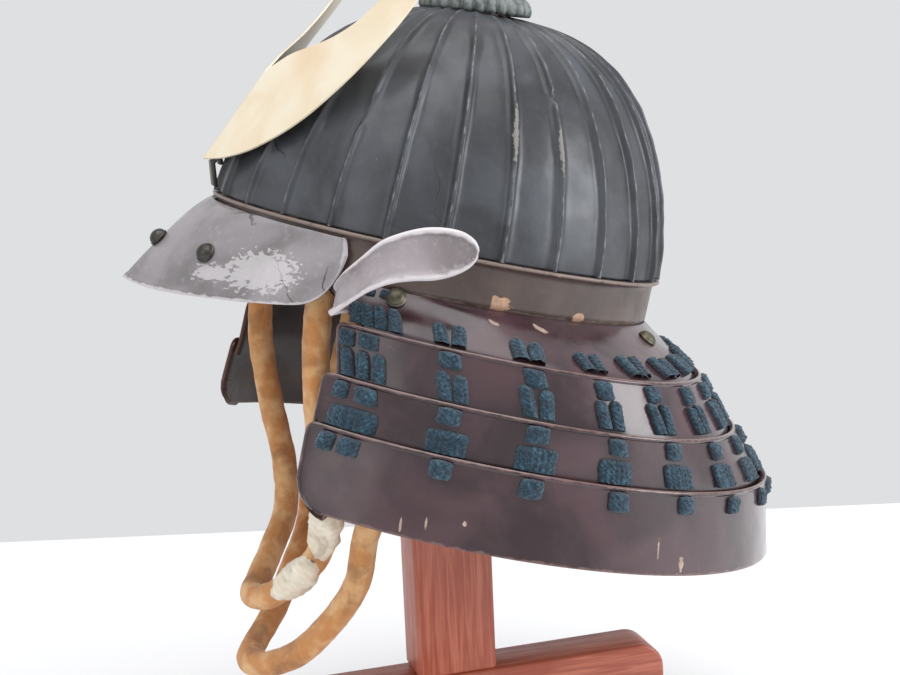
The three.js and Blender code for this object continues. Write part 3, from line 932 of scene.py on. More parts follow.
# ---- Neck guard ----
@dataclass(frozen=True)
class Level:
    """Plan of the neck guard at one height: half an ellipse in front and half behind."""

    z: float
    centre_y: float
    rear: float
    front: float
    side: float
    front_angle: float

    def at(self, angle: float, out: float = 0.0) -> Vector:
        """Returns the plan's point at an angle in radians, moved outwards.

        Args:
            angle: round the plan in radians.
            out: how far it is moved outwards.
        """
        s = math.sin(angle)
        depth = (self.rear if s > 0 else self.front) + out
        return Vector(((self.side + out) * math.cos(angle), self.centre_y + depth * s, self.z))

    def mix(self, other: Level, t: float) -> Level:
        """Returns the level a share t of the way to another."""
        names = ("z", "centre_y", "rear", "front", "side", "front_angle")
        return Level(*(lerp(getattr(self, n), getattr(other, n), t) for n in names))


@dataclass(frozen=True)
class NeckGuard:
    """Four flared rows, each tucked behind the next one's standing top edge."""

    wall: float = 3.0
    gap: float = 1.0
    overlap: float = 9.0
    bead_width: float = 2.4
    bead_height: float = 0.7
    top_corner: float = 5.0
    hem_corner: float = 15.0
    levels: tuple[Level, ...] = (
        Level(-21.6, 0, 112.6, 112.6, 97.6, -34),
        Level(-39.4, 36, 105, 142, 128, -43.5),
        Level(-61.9, 42, 123, 150, 141, -47),
        Level(-84.4, 44, 147, 157, 146, -48.5),
        Level(-122.8, 43, 159, 161, 151, -47),
    )

    def row(self, n: int, down: float, angle: float, out: float = 0.0) -> Vector:
        """Returns a point of row n's outer face.

        Args:
            n: the row, 0 at the top to 3 at the hem.
            down: 0 at its top edge and 1 at the next row's top edge or the hem.
            angle: round the plan in degrees, 0 at the wearer's left.
            out: how far the point stands off the face.
        """
        tuck = 0.0 if n == 3 else (self.wall + self.gap) * down
        level = self.levels[n].mix(self.levels[n + 1], down)
        if down > 1 and n < 3:
            after = self.levels[min(n + 2, 4)]
            level = self.levels[n + 1].mix(after, (down - 1) * self.depth(n) / self.depth(n + 1))
            tuck = (self.wall + self.gap) * (down if n < 2 else 1)
        return level.at(math.radians(angle), out - tuck)

    def depth(self, n: int) -> float:
        """Returns row n's height between its top edge and the next."""
        n = min(n, 3)
        return self.levels[n].z - self.levels[n + 1].z

    def slope(self, n: int) -> float:
        """Returns row n's length down its face at the wearer's left."""
        return (self.row(n, 1, 20) - self.row(n, 0, 20)).length

    def outward(self, n: int, down: float, angle: float) -> Vector:
        """Returns the direction off row n's face.

        Args:
            n: the row, 0 at the top to 3 at the hem.
            down: 0 at the row's top edge and 1 at the next row's.
            angle: round the plan in degrees.
        """
        turn = self.row(n, down, angle + 1) - self.row(n, down, angle - 1)
        fall = self.row(n, down + 0.02, angle) - self.row(n, down - 0.02, angle)
        way = turn.cross(fall).normalized()
        middle = Vector((0, self.levels[n].centre_y, -300))
        return way if way.dot(self.row(n, down, angle) - middle) > 0 else -way

    def row_mesh(self, n: int) -> bmesh.types.BMesh:
        """Returns row n's outer face, beaded along its top edge and front ends.

        Args:
            n: the row, 0 at the top to 3 at the hem.
        """
        slope = self.slope(n)
        length = slope + (0 if n == 3 else self.overlap)
        fine = (0, 0.4, 0.9, 1.4, 1.9, 2.4, 3.2, 5, 8)
        downs = stations(length, fine, 5, n == 3)
        mean_radius = self.levels[n + 1].side
        front = lerp(self.levels[n].front_angle, self.levels[n + 1].front_angle, 0.9)
        if n == 3:
            front = self.levels[3].front_angle
        arc = math.radians(180 - 2 * front) * mean_radius
        acrosses = stations(arc, fine + (11, 15), 3.2, True)

        def flat(across: float, down: float) -> tuple[float, float, float]:
            """Returns the angle, the share down and the bead's height.

            Args:
                across: millimetres from the left front end.
                down: millimetres from the top edge.
            """
            end = min(across, arc - across)
            corner = self.top_corner if n else 0.5
            top = corner * (1 - math.sqrt(max(0, 1 - clamp(1 - down / corner) ** 2)))
            hem = 0.0
            if n == 3:
                t = clamp(1 - (length - down) / self.hem_corner)
                hem = self.hem_corner * (1 - math.sqrt(1 - t * t))
            step = (top + hem) * smooth(40, 0, end)
            shift = step if across < arc / 2 else -step
            start = front
            if n == 3:
                start = lerp(self.levels[3].front_angle, self.levels[4].front_angle, down / slope)
            share = (across + shift) / arc
            angle = lerp(start, 180 - start, share)
            near = min(end, down) if n else end
            bump = math.sin(math.pi * clamp(near / self.bead_width)) ** 0.7
            return angle, down / slope, self.bead_height * bump

        def place(across: float, down: float) -> Vector:
            """Returns a point of the row's face with its bead.

            Args:
                across: millimetres from the left front end.
                down: millimetres from the top edge.
            """
            angle, share, bead = flat(across, down)
            point = self.row(n, share, angle)
            uneven = 0.35 * rough(point, 38, n) + 0.12 * rough(point, 9, n + 4)
            fade = smooth(0, 8, min(down, across, arc - across))
            return point + self.outward(n, share, angle) * (bead + uneven * fade - 0.3)

        def mark(across: float, down: float) -> float:
            """Returns the distance from the row's nearest free edge.

            Args:
                across: millimetres from the left front end.
                down: millimetres from the top edge.
            """
            edges = [across, arc - across]
            if n:
                edges.append(down)
            if n == 3:
                edges.append(length - down)
            return min(edges)

        bm = sheet_mesh(acrosses, downs, place, mark)
        face_away(bm, Vector((0, 40, self.levels[n].z - 60)))
        return bm

    def build(self, finishes: Sequence[bpy.types.Material], lining: bpy.types.Material) -> None:
        """Builds the four rows."""
        for n, finish in enumerate(finishes):
            Piece(f"row_{n + 1}", self.row_mesh(n), [finish, lining], Slot.BROWN,
                  [f"lame_{n + 1}"], wall=self.wall - 0.35, bevel=0.5).build()

    def rivets(self, finish: bpy.types.Material) -> None:
        """Builds the two flat rivets at each side of the first row."""
        for label, side in (("left", 1), ("right", -1)):
            for place, angle, down in (("front", -25, 0.17), ("rear", 50, 0.27)):
                point, way = self.row(0, down, angle), self.outward(0, down, angle)
                point.x *= side
                way.x *= side
                Rivet().build(f"row_rivet_{label}_{place}", point, way, finish, flat=0.75)


@dataclass(frozen=True)
class TurnBack:
    """The pale leaf at each end of the first row, curled out and back over the lacing."""

    wall: float = 2.0
    rim: float = 1.6
    rim_width: float = 3.8
    # Distance out, y, and lower and upper edge, from the root to the tip.
    outline: tuple[tuple[float, float, float, float], ...] = (
        (84, -57, -35.5, -23),
        (88, -65, -36.5, -23),
        (94, -70.5, -37.5, -22.5),
        (101, -70, -34, -15),
        (105.5, -66, -28, -7.5),
        (108.5, -60, -21.5, 1),
        (110.5, -52, -16.5, 6.5),
        (112, -43, -13.5, 10.5),
        (113, -34, -11.5, 12.2),
        (114, -26, -8, 12),
        (114.5, -20, -3.5, 9.5),
        (115, -17, 1, 6),
    )

    def build(self, side: int, finish: bpy.types.Material) -> None:
        """Builds one leaf with a rolled rim.

        Args:
            side: 1 for the wearer's left and -1 for the right.
            finish: its lacquer.
        """
        length = 86.0
        alongs = stations(length, (0, 0.5, 1.1, 1.8, 2.6, 3.4), 1.6, True)
        shares = [0, 0.03, 0.06, 0.1, 0.14, 0.19, 0.26, 0.35, 0.5, 0.65, 0.74, 0.81, 0.86, 0.9,
                  0.94, 0.97, 1]

        def spread(along: float) -> tuple[Vector, float, Vector]:
            """Returns the leaf's middle, half width and direction at a station.

            Args:
                along: millimetres from the root.
            """
            x, y, low, high = curve_at(self.outline, along / length)
            x2, y2, _, _ = curve_at(self.outline, min(along / length + 0.01, 1))
            x1, y1, _, _ = curve_at(self.outline, max(along / length - 0.01, 0))
            tangent = Vector((x2 - x1, y2 - y1, 0)).normalized()
            middle = (low + high) / 2
            half = (high - low) / 2
            tip = clamp((along - (length - 2.5)) / 2.5, 0, 0.75)
            return Vector((x, y, middle)), half * math.sqrt(1 - tip * tip), tangent

        def place(along: float, share: float) -> Vector:
            """Returns a point of the leaf with its rolled rim.

            Args:
                along: millimetres from the root.
                share: 0 at the lower edge and 1 at the upper.
            """
            middle, half, tangent = spread(along)
            out = Vector((tangent.y, -tangent.x, 0))
            height = (share - 0.5) * 2 * half
            to_edge = min(half - abs(height), (length - along) * 0.7, along + 4)
            roll = self.rim * math.sin(math.pi * clamp(to_edge / self.rim_width)) ** 0.8
            cup = -1.6 * (1 - (2 * share - 1) ** 2) * smooth(10, 45, along)
            point = middle + Vector((0, 0, height)) + out * (roll + cup + self.wall / 2)
            point += out * 0.2 * rough(point, 12, side)
            return Vector((side * point.x, point.y, point.z))

        def mark(along: float, share: float) -> float:
            """Returns the distance from the leaf's rim."""
            _, half, _ = spread(along)
            return max(0.0, min(half * (1 - abs(2 * share - 1)), length - along) - 0.6)

        bm = sheet_mesh(alongs, shares, place, mark)
        bm.normal_update()
        near_tip = max(bm.faces, key=lambda f: f.calc_center_median().y)
        if near_tip.normal.x * side < 0:
            bmesh.ops.reverse_faces(bm, faces=bm.faces)
        name = "left" if side > 0 else "right"
        Piece(f"turn_back_{name}", bm, [finish], Slot.GREY, ["lame_1"], wall=self.wall,
              bevel=0.5).build()


# ---- Visor ----
@dataclass(frozen=True)
class Visor:
    """The peak: a sheet folded along its middle, swept back to a round lobe at each side."""

    wall: float = 1.8
    top_z: float = -3.2
    tip_y: float = -151.8
    drop: float = 44.0
    lobe_x: float = 84.0
    lobe_back: float = 10.0
    lobe_rise: float = 8.0
    top_half_width: float = 80.0
    clear: float = 2.2
    keel: float = 0.25
    sweep: float = 0.0075
    flare: float = 0.72

    def fall(self, u: float) -> float:
        """Returns how far the lower edge is below the top one, less where the lobes rise."""
        u = min(abs(u), 1.0)
        return (self.drop - self.lobe_rise * smooth(0.1, 0.75, u)) * (1 - u ** 6) ** 0.4

    def point(self, u: float, v: float) -> Vector:
        """Returns a point of the visor's outer face.

        Args:
            u: -1 at the right lobe to 1 at the left.
            v: 0 at the top edge to 1 at the lower edge.
        """
        turn = math.sin(u * math.pi / 2)
        top_x = self.top_half_width * turn
        top_y = -(113 + self.clear) * math.sqrt(1 - (top_x / (98 + self.clear)) ** 2)
        low_x = self.lobe_x * turn
        low_y = self.tip_y + self.keel * abs(low_x) + self.sweep * low_x * low_x
        low_y += self.lobe_back * abs(u) ** 8
        low_z = self.top_z - 1 - self.fall(u)
        share = v ** self.flare
        return Vector((lerp(top_x, low_x, share), lerp(top_y, low_y, share),
                       lerp(self.top_z, low_z, v)))

    def normal(self, u: float, v: float) -> Vector:
        """Returns the outward direction of the visor's face.

        Args:
            u: -1 at the right lobe to 1 at the left.
            v: 0 at the top edge to 1 at the lower edge.
        """
        step = 0.01
        turn = self.point(min(u + step, 1), v) - self.point(max(u - step, -1), v)
        fall = self.point(u, min(v + step, 1)) - self.point(u, max(v - step, 0.001))
        return fall.cross(turn).normalized()

    def build(self, finish: bpy.types.Material, lining: bpy.types.Material) -> None:
        """Builds the visor with a thin raised border.

        Args:
            finish: the outer finish.
            lining: the finish inside.
        """
        us = [math.sin(math.pi / 2 * k / 55) * 0.998 for k in range(-55, 56)]
        vs = stations(1.0, (0.001, 0.02, 0.05, 0.09, 0.14), 0.06, False)
        vs = vs[:-1] + [0.9, 0.93, 0.955, 0.975, 0.99, 1.0]
        vs = sorted(set(vs))

        def to_edge(u: float, v: float) -> float:
            """Returns the distance from the visor's free edge."""
            return min((1 - v) * max(self.fall(u), 14), (1 - abs(u)) * 70)

        def place(u: float, v: float) -> Vector:
            """Returns a point of the visor with its raised border.

            Args:
                u: -1 at the right lobe to 1 at the left.
                v: 0 at the top edge to 1 at the lower edge.
            """
            point = self.point(u, v)
            border = 0.45 * smooth(3.2, 1.6, to_edge(u, v))
            uneven = 0.25 * rough(point, 18, 2) + 0.1 * rough(point, 5, 6)
            return point + self.normal(u, v) * (border + uneven - 0.2)

        bm = sheet_mesh(us, vs, place, to_edge)
        rechart(bm, lambda u, v: (u * 100, v * 50))
        face_away(bm, Vector((0, -60, -60)))
        Piece("visor_sheet", bm, [finish, lining], Slot.GREY, ["visor"], wall=self.wall,
              bevel=0.4).build()

    def rivets(self, finish: bpy.types.Material) -> None:
        """Builds the three rivets along the visor."""
        for label, u in (("left", 0.31), ("centre", 0.0), ("right", -0.31)):
            Rivet().build(f"visor_rivet_{label}", self.point(u, 0.52), self.normal(u, 0.52),
                          finish)


@dataclass(frozen=True)
class Rivet:
    """A domed rivet on a small washer."""

    radius: float = 4.4
    height: float = 4.4

    def build(self, name: str, place: Vector, way: Vector, finish: bpy.types.Material,
              flat: float = 1.0) -> None:
        """Builds one rivet.

        Args:
            name: its model name.
            place: the surface point under its middle.
            way: the direction off the surface.
            finish: its metal.
            flat: 1 for a full dome, less for a flatter one.
        """
        bm = bmesh.new()
        bm.verts.layers.float.new("edge")
        bm.loops.layers.uv.new("map")
        profile = [(0.0, 0.1), (self.radius + 0.4, 0.1), (self.radius + 0.4, 0.7)]
        profile += [
            (self.radius * math.cos(math.radians(a)),
             0.7 + (self.height * flat - 0.7) * math.sin(math.radians(a)))
            for a in range(0, 90, 15)
        ]
        profile.append((0.0, self.height * flat))
        verts = [bm.verts.new((r, 0, z)) for r, z in profile]
        edges = [bm.edges.new(pair) for pair in zip(verts, verts[1:])]
        bmesh.ops.spin(bm, geom=verts + edges, axis=(0, 0, 1), cent=(0, 0, 0),
                       angle=math.tau, steps=28, use_merge=True)
        bmesh.ops.remove_doubles(bm, verts=bm.verts, dist=1e-3)
        bmesh.ops.recalc_face_normals(bm, faces=bm.faces)
        turn = Vector((0, 0, 1)).rotation_difference(way).to_matrix().to_4x4()
        bmesh.ops.transform(bm, matrix=Matrix.Translation(place) @ turn, verts=bm.verts)
        Piece(f"{name}_head", bm, [finish], Slot.IRON, [name]).build()


# ---- Crest ----
@dataclass(frozen=True)
class Crest:
    """The gilt crescent: a thin sheet folded along its middle that leans back over the bowl."""

    wall: float = 0.9
    foot_y: float = -124.6
    foot_z: float = 15.0
    lean: float = 0.457
    fold: float = 0.36
    # Outer x and z, inner x and z, from the middle to a horn's tip.
    outline: tuple[tuple[float, float, float, float], ...] = (
        (0, 15, 0, 61),
        (16, 18.5, 4, 66),
        (33, 27, 11, 72.5),
        (50, 42, 21, 77.5),
        (62, 62, 33, 84),
        (69, 82, 42.5, 93.5),
        (72, 103, 48.5, 107),
        (69, 122, 51, 122),
        (58.5, 140, 56, 139),
    )

    def build(self, finish: bpy.types.Material) -> None:
        """Builds the crescent with a few soft dents.

        Args:
            finish: the outer finish.
        """
        us = [k / 48 for k in range(-48, 49)]
        vs = stations(1.0, (0, 0.02, 0.05, 0.1), 0.08, True)

        def place(u: float, v: float) -> Vector:
            """Returns a point of the crescent with its dents.

            Args:
                u: -1 at the right horn's tip to 1 at the left.
                v: 0 at the outer edge and 1 at the inner.
            """
            out_x, out_z, in_x, in_z = curve_at(self.outline, abs(u))
            x, z = lerp(out_x, in_x, v), lerp(out_z, in_z, v)
            y = self.foot_y + (z - self.foot_z) * self.lean + self.fold * x
            dent = 0.4 * rough(Vector((x, z, u)), 24, 1.5)
            return Vector((math.copysign(x, u), y + dent * smooth(0, 6, x), z))

        def mark(u: float, v: float) -> float:
            """Returns the distance from the crescent's nearest edge.

            Args:
                u: -1 at the right horn's tip to 1 at the left.
                v: 0 at the outer edge and 1 at the inner.
            """
            out_x, out_z, in_x, in_z = curve_at(self.outline, abs(u))
            width = math.hypot(in_x - out_x, in_z - out_z)
            return min(v, 1 - v) * width

        bm = sheet_mesh(us, vs, place, mark)
        face_away(bm, Vector((0, 0, 60)))
        Piece("crescent", bm, [finish], Slot.GILT, ["crest"], wall=self.wall,
              bevel=0.25).build()


# ---- Crown fitting ----
@dataclass(frozen=True)
class Finial:
    """The petal collar on the crown and the fluted tube that stands in it."""

    petals: int = 28
    radius: float = 28.0
    inner: float = 20.4
    height: float = 7.0
    flutes: int = 24
    tube_radius: float = 20.0
    tube_wall: float = 1.6
    tube_height: float = 19.0
    lean: float = 6.0
    seat: float = 113.7
    crown_shift: float = -6.0

    def frame(self) -> Matrix:
        """Returns the fitting's place on the crown."""
        return (HELMET @ Matrix.Translation((0, self.crown_shift, self.seat))
                @ Matrix.Rotation(math.radians(self.lean), 4, "X"))

    def ring(self, name: str, profile: Sequence[tuple[float, float, float]], count: int,
             depth: float, finish: bpy.types.Material, slot: Slot, node: str) -> None:
        """Builds a ring whose profile swells and narrows round the turn.

        Args:
            name: the piece's name.
            profile: radius, height and how far each point follows the swelling.
            count: how many petals or flutes go round.
            depth: how deep they are.
            finish: the ring's metal.
            slot: its slot in the record.
            node: the solid it stands for.
        """
        angles = [math.tau * k / (count * 8) for k in range(count * 8 + 1)]
        steps = list(range(len(profile)))

        def place(angle: float, step: float) -> Vector:
            """Returns a point of the ring with its petals or flutes.

            Args:
                angle: round the plan in radians.
                step: number of the profile's point.
            """
            radius, z, wave = profile[int(step)]
            round_top = abs(math.cos(angle * count / 2)) ** 0.55
            reach = radius - depth * wave * (1 - round_top)
            return Vector((reach * math.cos(angle), reach * math.sin(angle), z))

        def mark(angle: float, step: float) -> float:
            """Returns the distance from the groove between two petals."""
            return 3 * abs(math.cos(angle * count / 2)) * profile[int(step)][2]

        bm = sheet_mesh(angles, steps, place, mark, closed=True)
        Piece(name, bm, [finish], slot, [node], frame=self.frame()).build()

    def build(self, collar: bpy.types.Material, tube: bpy.types.Material) -> None:
        """Builds the collar and the tube.

        Args:
            collar: the collar's metal.
            tube: the tube's metal.
        """
        r, h = self.radius, self.height
        petals = [
            (self.inner, 0, 0), (r - 5, -0.6, 0.4), (r - 2.4, -2.4, 1), (r - 0.6, -2.5, 1),
            (r + 0.2, -1.2, 1), (r + 0.2, 0.8, 1), (r - 0.4, 2.8, 1), (r - 1.6, 4.6, 0.9),
            (r - 3.2, 6, 0.6), (r - 5.2, h, 0.25), (self.inner, h, 0), (self.inner, 0, 0),
        ]
        self.ring("petal_collar", petals, self.petals, 3.4, collar, Slot.PATINA,
                  "finial_collar")
        t, top, bore = self.tube_radius, self.tube_height, self.tube_radius - self.tube_wall
        tube_profile = [
            (bore, 0, 0), (t, 0, 0.3), (t, 1, 1), (t, top / 2, 1), (t, top - 3, 1),
            (t, top - 1.6, 0.4), (t, top - 0.4, 0), (t - 0.5, top, 0), (bore + 0.4, top, 0),
            (bore, top - 0.5, 0), (bore, top / 2, 0), (bore, 0, 0),
        ]
        self.ring("fluted_tube", tube_profile, self.flutes, 1.1, tube, Slot.COPPER,
                  "finial_tube")


# ---- Lacing ----
class Bundle(Enum):
    """How the strands of a lace lie, as ribs along it and waves across it."""

    PAIR = (2.4, 0.45)
    FAN = (7.0, 0.75)
    KNOT = (3.0, 0.6)


@dataclass
class Lacing:
    """Braid that holds the rows: pairs over each edge, cross knots under it, fans by the hem."""

    guard: NeckGuard
    finish: bpy.types.Material
    columns: int = 8
    first_angle: float = -24.0
    pitch: float = 15.2
    front_angle: float = -41.0
    dice: random.Random = field(default_factory=lambda: random.Random(11))

    def pad(self, n: int, angle: float, down: float, width: float, length: float,
            height: float, bundle: Bundle, side: int, shift: float = 0.0,
            turn: float = 0.0, hangs: bool = False) -> bmesh.types.BMesh:
        """Returns one padded strand or knot that lies on a row's face.

        Args:
            n: the row it lies on.
            angle: its middle round the plan in degrees.
            down: its top end in millimetres down from the row's top edge.
            width: across, in millimetres.
            length: down the row.
            height: how far it stands out.
            bundle: how its strands lie.
            side: 1 for the wearer's left and -1 for the right.
            shift: sideways in millimetres.
            turn: its slant in degrees.
            hangs: whether its foot is at the next row's top edge, whatever down says.
        """
        along = self.guard.row(n, 0.5, angle + 1) - self.guard.row(n, 0.5, angle - 1)
        along.normalize()
        fall = self.guard.row(n, 1, angle) - self.guard.row(n, 0, angle)
        lean = fall.dot(along) * (0.8 if n == 0 else 0.0)
        slope = self.guard.slope(n)
        if n == 0:
            slope = math.sqrt(fall.length_squared - lean * lean)
        down = slope - length - 0.4 if hangs else down
        foot = slope if hangs else 0.0
        seed = self.dice.uniform(0, 50)
        ribs, depth = bundle.value
        columns, rows = (26, 18) if bundle is Bundle.FAN else (14, 22)
        if bundle is Bundle.KNOT:
            columns, rows = 16, 16
        slant = math.tan(math.radians(turn)) - lean / slope
        reach = (self.guard.row(n, 0.5, angle) - Vector((0, 40, self.guard.levels[n].z))).length

        def outline(u: float, v: float) -> tuple[float, float]:
            """Returns the sideways and downward place on the row.

            Args:
                u: place across, from -1 to 1.
                v: place down, from 0 to 1.
            """
            round_end = 0.42 if bundle is Bundle.PAIR else 0.3
            power = 2.6 if bundle is Bundle.PAIR else 3.2
            to_top = clamp(1 - v / round_end)
            to_foot = clamp(1 - (1 - v) / 0.25) if bundle is Bundle.KNOT else 0.0
            narrow = (1 - max(to_top, to_foot) ** power) ** (1 / power)
            wide = width / 2 * narrow * (1 + 0.07 * rough(Vector((v * 3, seed, 0)), 1))
            return u * wide, v * length

        def place(u: float, v: float) -> Vector:
            """Returns a point of the padded strand on the row's face.

            Args:
                u: place across, from -1 to 1.
                v: place down, from 0 to 1.
            """
            t, s = outline(u, v)
            ends = min(1.0, 6 * v, 6 * (1 - v) if bundle is Bundle.KNOT else 1.0)
            crown = (max(0.0, 1 - abs(u) ** 2.6) ** 0.5) * ends ** 0.5
            if bundle is Bundle.KNOT:
                ribbing = math.cos((u * 1.1 + v * 2.2) * ribs * 1.6) * 0.5
                ribbing += 0.5 * math.cos((u * 1.3 - v * 2.2) * ribs * 1.9 + seed)
            else:
                ribbing = math.cos(math.pi * u * ribs + 0.8 * rough(Vector((u, v * 2, seed)), 1))
            notch = math.cos(math.tau * (s / 2.6 + abs(t) / 3.4) + seed)
            h = height * crown * (1 + 0.18 * rough(Vector((u * 2, v * 3, seed)), 1))
            h += depth * 0.5 * ribbing * crown + 0.22 * notch * crown
            at = angle + math.degrees((t + shift + (down + s - foot) * slant) / reach)
            share = (down + s) / slope
            way = self.guard.outward(n, clamp(share, 0.03, 1.2), at)
            point = self.guard.row(n, share, at) + way * (h - 0.15)
            return Vector((side * point.x, point.y, point.z))

        us = [2 * k / columns - 1 for k in range(columns + 1)]
        vs = [k / rows for k in range(rows + 1)]

        def mark(u: float, v: float) -> float:
            """Returns the distance from the strand's side."""
            return max(0.0, 1 - abs(u)) * width / 2 + 0.15

        bm = sheet_mesh(us, vs, place, mark)
        rechart(bm, lambda u, v: (u * width / 2, v * length))
        middle = self.guard.row(n, (down + length / 2) / slope, angle)
        inner = middle - self.guard.outward(n, 0.5, angle) * 30
        face_away(bm, Vector((side * inner.x, inner.y, inner.z)))
        return bm

    def jitter(self, size: float) -> float:
        """Returns a small random change either way."""
        return self.dice.uniform(-size, size)

    def column(self, name: str, angle: float, side: int, wide: bool) -> None:
        """Builds one column of braid from the first row to the last.

        Args:
            name: the solid's name, which the piece stands for.
            angle: the column's angle in degrees.
            side: 1 for the wearer's left and -1 for the right.
            wide: whether it is the group at the front end.
        """
        bm = bmesh.new()
        bm.verts.layers.float.new("edge")
        bm.loops.layers.uv.new("map")
        for n in range(3):
            tall = (14.5, 14.5, 11.5)[n] + self.jitter(0.9)
            at = angle + (7 if wide and n == 0 else 0)
            if wide:
                shifts = (-21, -14.6, -8.2, -1.8) if n == 0 else (-7.2, 0, 7.2)
            else:
                shifts = (-3.3, 3.3)
            if n == 2:
                join(bm, self.pad(n, at, 0, 24 if wide else 18, tall, 3.0, Bundle.FAN, side,
                                  turn=self.jitter(4), hangs=True))
            else:
                for shift in shifts:
                    spread = -0.5 * math.copysign(1, shift) if shift else 0
                    join(bm, self.pad(n, at, 0, 6.7, tall + self.jitter(0.5), 3.0,
                                      Bundle.PAIR, side, shift + self.jitter(0.3),
                                      turn=self.jitter(2.5) + 8 * spread, hangs=True))
            knots = ((-7, 8), (3.5, 11)) if wide else ((0, 10.4),)
            for shift, width in knots:
                join(bm, self.pad(n + 1, angle, 2.2 + self.jitter(0.4), width + self.jitter(0.5),
                                  9.2 + self.jitter(0.6), 2.9, Bundle.KNOT, side, shift,
                                  turn=self.jitter(9)))
        if wide:
            for at in (-29, -24):
                join(bm, self.pad(0, at, 1.5, 8.5, 5.4, 2.6, Bundle.KNOT, side, turn=-20))
        Piece(f"{name}_braid", bm, [self.finish], Slot.BRAID, [name]).build()

    def build(self) -> None:
        """Builds all columns on both sides."""
        for label, side in (("left", 1), ("right", -1)):
            self.column(f"lacing_{label}_front", self.front_angle, side, True)
            for k in range(self.columns):
                angle = self.first_angle + k * self.pitch
                self.column(f"lacing_{label}_{k + 1}", angle, side, False)


# ---- Chin cord ----
@dataclass(frozen=True)
class ChinCord:
    """One loop of padded cloth tube that goes twice round the chin through two rings."""

    diameter: float = 13.5
    # The left half of the route, from the ring down to the chin and back: x, y and height.
    top: tuple[float, float, float] = (71, -49, 14)
    lower: tuple[tuple[float, float, float], ...] = (
        (76, -25, 2), (79, -22, -28), (76, -32, -62), (68, -46, -98), (60, -60, -132),
        (55, -65, -158), (45, -78, -181), (31, -92, -199), (14, -106, -209),
    )
    lower_chin: tuple[float, float, float] = (0, -111, -211)
    upper: tuple[tuple[float, float, float], ...] = (
        (14, -101, -173), (28, -90, -161), (40, -80, -146), (50, -77, -124), (62, -80, -92),
        (69, -82, -58), (66, -79, -25), (64, -71, 2),
    )
    upper_chin: tuple[float, float, float] = (0, -107, -176)

    def knots(self) -> list[Vector]:
        """Returns the route's own points, once round from the left ring."""
        x, y, z = self.top

        def mirror(rows: Sequence[tuple[float, float, float]]) -> list[tuple]:
            """Returns points mirrored to the wearer's right."""
            return [(-a, b, c) for a, b, c in rows]

        rows = [(x, y + 1, z), *self.lower, self.lower_chin, *mirror(self.lower)[::-1],
                (-x, y, z), *mirror(self.upper)[::-1], self.upper_chin, *self.upper,
                (x, y - 1, z)]
        return [Vector(row) for row in rows]

    def route(self, step: float = ROUTE_STEP) -> list[Vector]:
        """Returns evenly spaced points of a smooth curve through the route's own points.

        Args:
            step: millimetres between two points.
        """
        knots = self.knots()
        knots = [2 * knots[0] - knots[1], *knots, 2 * knots[-1] - knots[-2]]
        fine: list[Vector] = []
        for a, b, c, d in zip(knots, knots[1:], knots[2:], knots[3:]):
            times = [0.0]
            for p, q in ((a, b), (b, c), (c, d)):
                times.append(times[-1] + math.sqrt((q - p).length))
            for k in range(24):
                t = lerp(times[1], times[2], k / 24)
                ab = a.lerp(b, (t - times[0]) / (times[1] - times[0]))
                bc = b.lerp(c, (t - times[1]) / (times[2] - times[1]))
                cd = c.lerp(d, (t - times[2]) / (times[3] - times[2]))
                abc = ab.lerp(bc, (t - times[0]) / (times[2] - times[0]))
                bcd = bc.lerp(cd, (t - times[1]) / (times[3] - times[1]))
                fine.append(abc.lerp(bcd, (t - times[1]) / (times[2] - times[1])))
        fine.append(knots[-2])
        path = [fine[0]]
        left = step
        for p, q in zip(fine, fine[1:]):
            run = (q - p).length
            while run > left:
                p = p.lerp(q, left / run)
                path.append(p)
                run = (q - p).length
                left = step
            left -= run
        path.append(fine[-1])
        return path

    @staticmethod
    def collars(path: Sequence[Vector]) -> list[tuple[Vector, Vector]]:
        """Returns two directions across the path at each point, carried along without twist.

        Args:
            path: points along the middle.
        """
        across = Vector((1, 0, 0))
        out = []
        for k in range(len(path)):
            ahead = path[min(k + 1, len(path) - 1)] - path[max(k - 1, 0)]
            ahead.normalize()
            across = (across - ahead * across.dot(ahead)).normalized()
            out.append((across.copy(), ahead.cross(across)))
        return out

    def tube(self, path: Sequence[Vector], radius: Callable[[float, int], float],
             sides: int) -> bmesh.types.BMesh:
        """Returns a tube along the path whose radius is given round and along it.

        Args:
            path: points along the middle.
            radius: rule from the turn and the point to the radius.
            sides: how many faces go round.
        """
        collars = self.collars(path)
        turns = [math.tau * k / sides for k in range(sides + 1)]
        places = list(range(len(path)))

        def place(turn: float, step: float) -> Vector:
            """Returns a point of the skin round the route.

            Args:
                turn: round the tube in radians.
                step: number of the route's point.
            """
            k = int(step)
            across, up = collars[k]
            reach = radius(turn % math.tau, k)
            return path[k] + (across * math.cos(turn) + up * math.sin(turn)) * reach

        bm = sheet_mesh(turns, places, place, closed=True)
        rechart(bm, lambda turn, step: (turn * self.diameter / 2, step * ROUTE_STEP))
        rims = [e for e in bm.edges if e.is_boundary]
        bmesh.ops.holes_fill(bm, edges=rims, sides=0)
        bmesh.ops.recalc_face_normals(bm, faces=bm.faces)
        return bm

    def build(self, cloth: bpy.types.Material, stuffing: bpy.types.Material) -> None:
        """Builds the cord and the stuffing that shows where its cloth is torn.

        Args:
            cloth: the cord's cloth.
            stuffing: the cotton's finish.
        """
        path = self.route()
        half = self.diameter / 2

        def radius(turn: float, k: int) -> float:
            """Returns the tube's radius, with folds and a sewn seam.

            Args:
                turn: round the tube in radians.
                k: number of the route's point.
            """
            around = Vector((math.cos(turn), math.sin(turn), k * 0.12))
            folds = 0.35 * rough(around, 0.55) + 0.2 * rough(around, 0.2)
            seam = -0.35 * math.exp(-((turn - 1.2) / 0.16) ** 2)
            return half - 0.25 + folds + seam

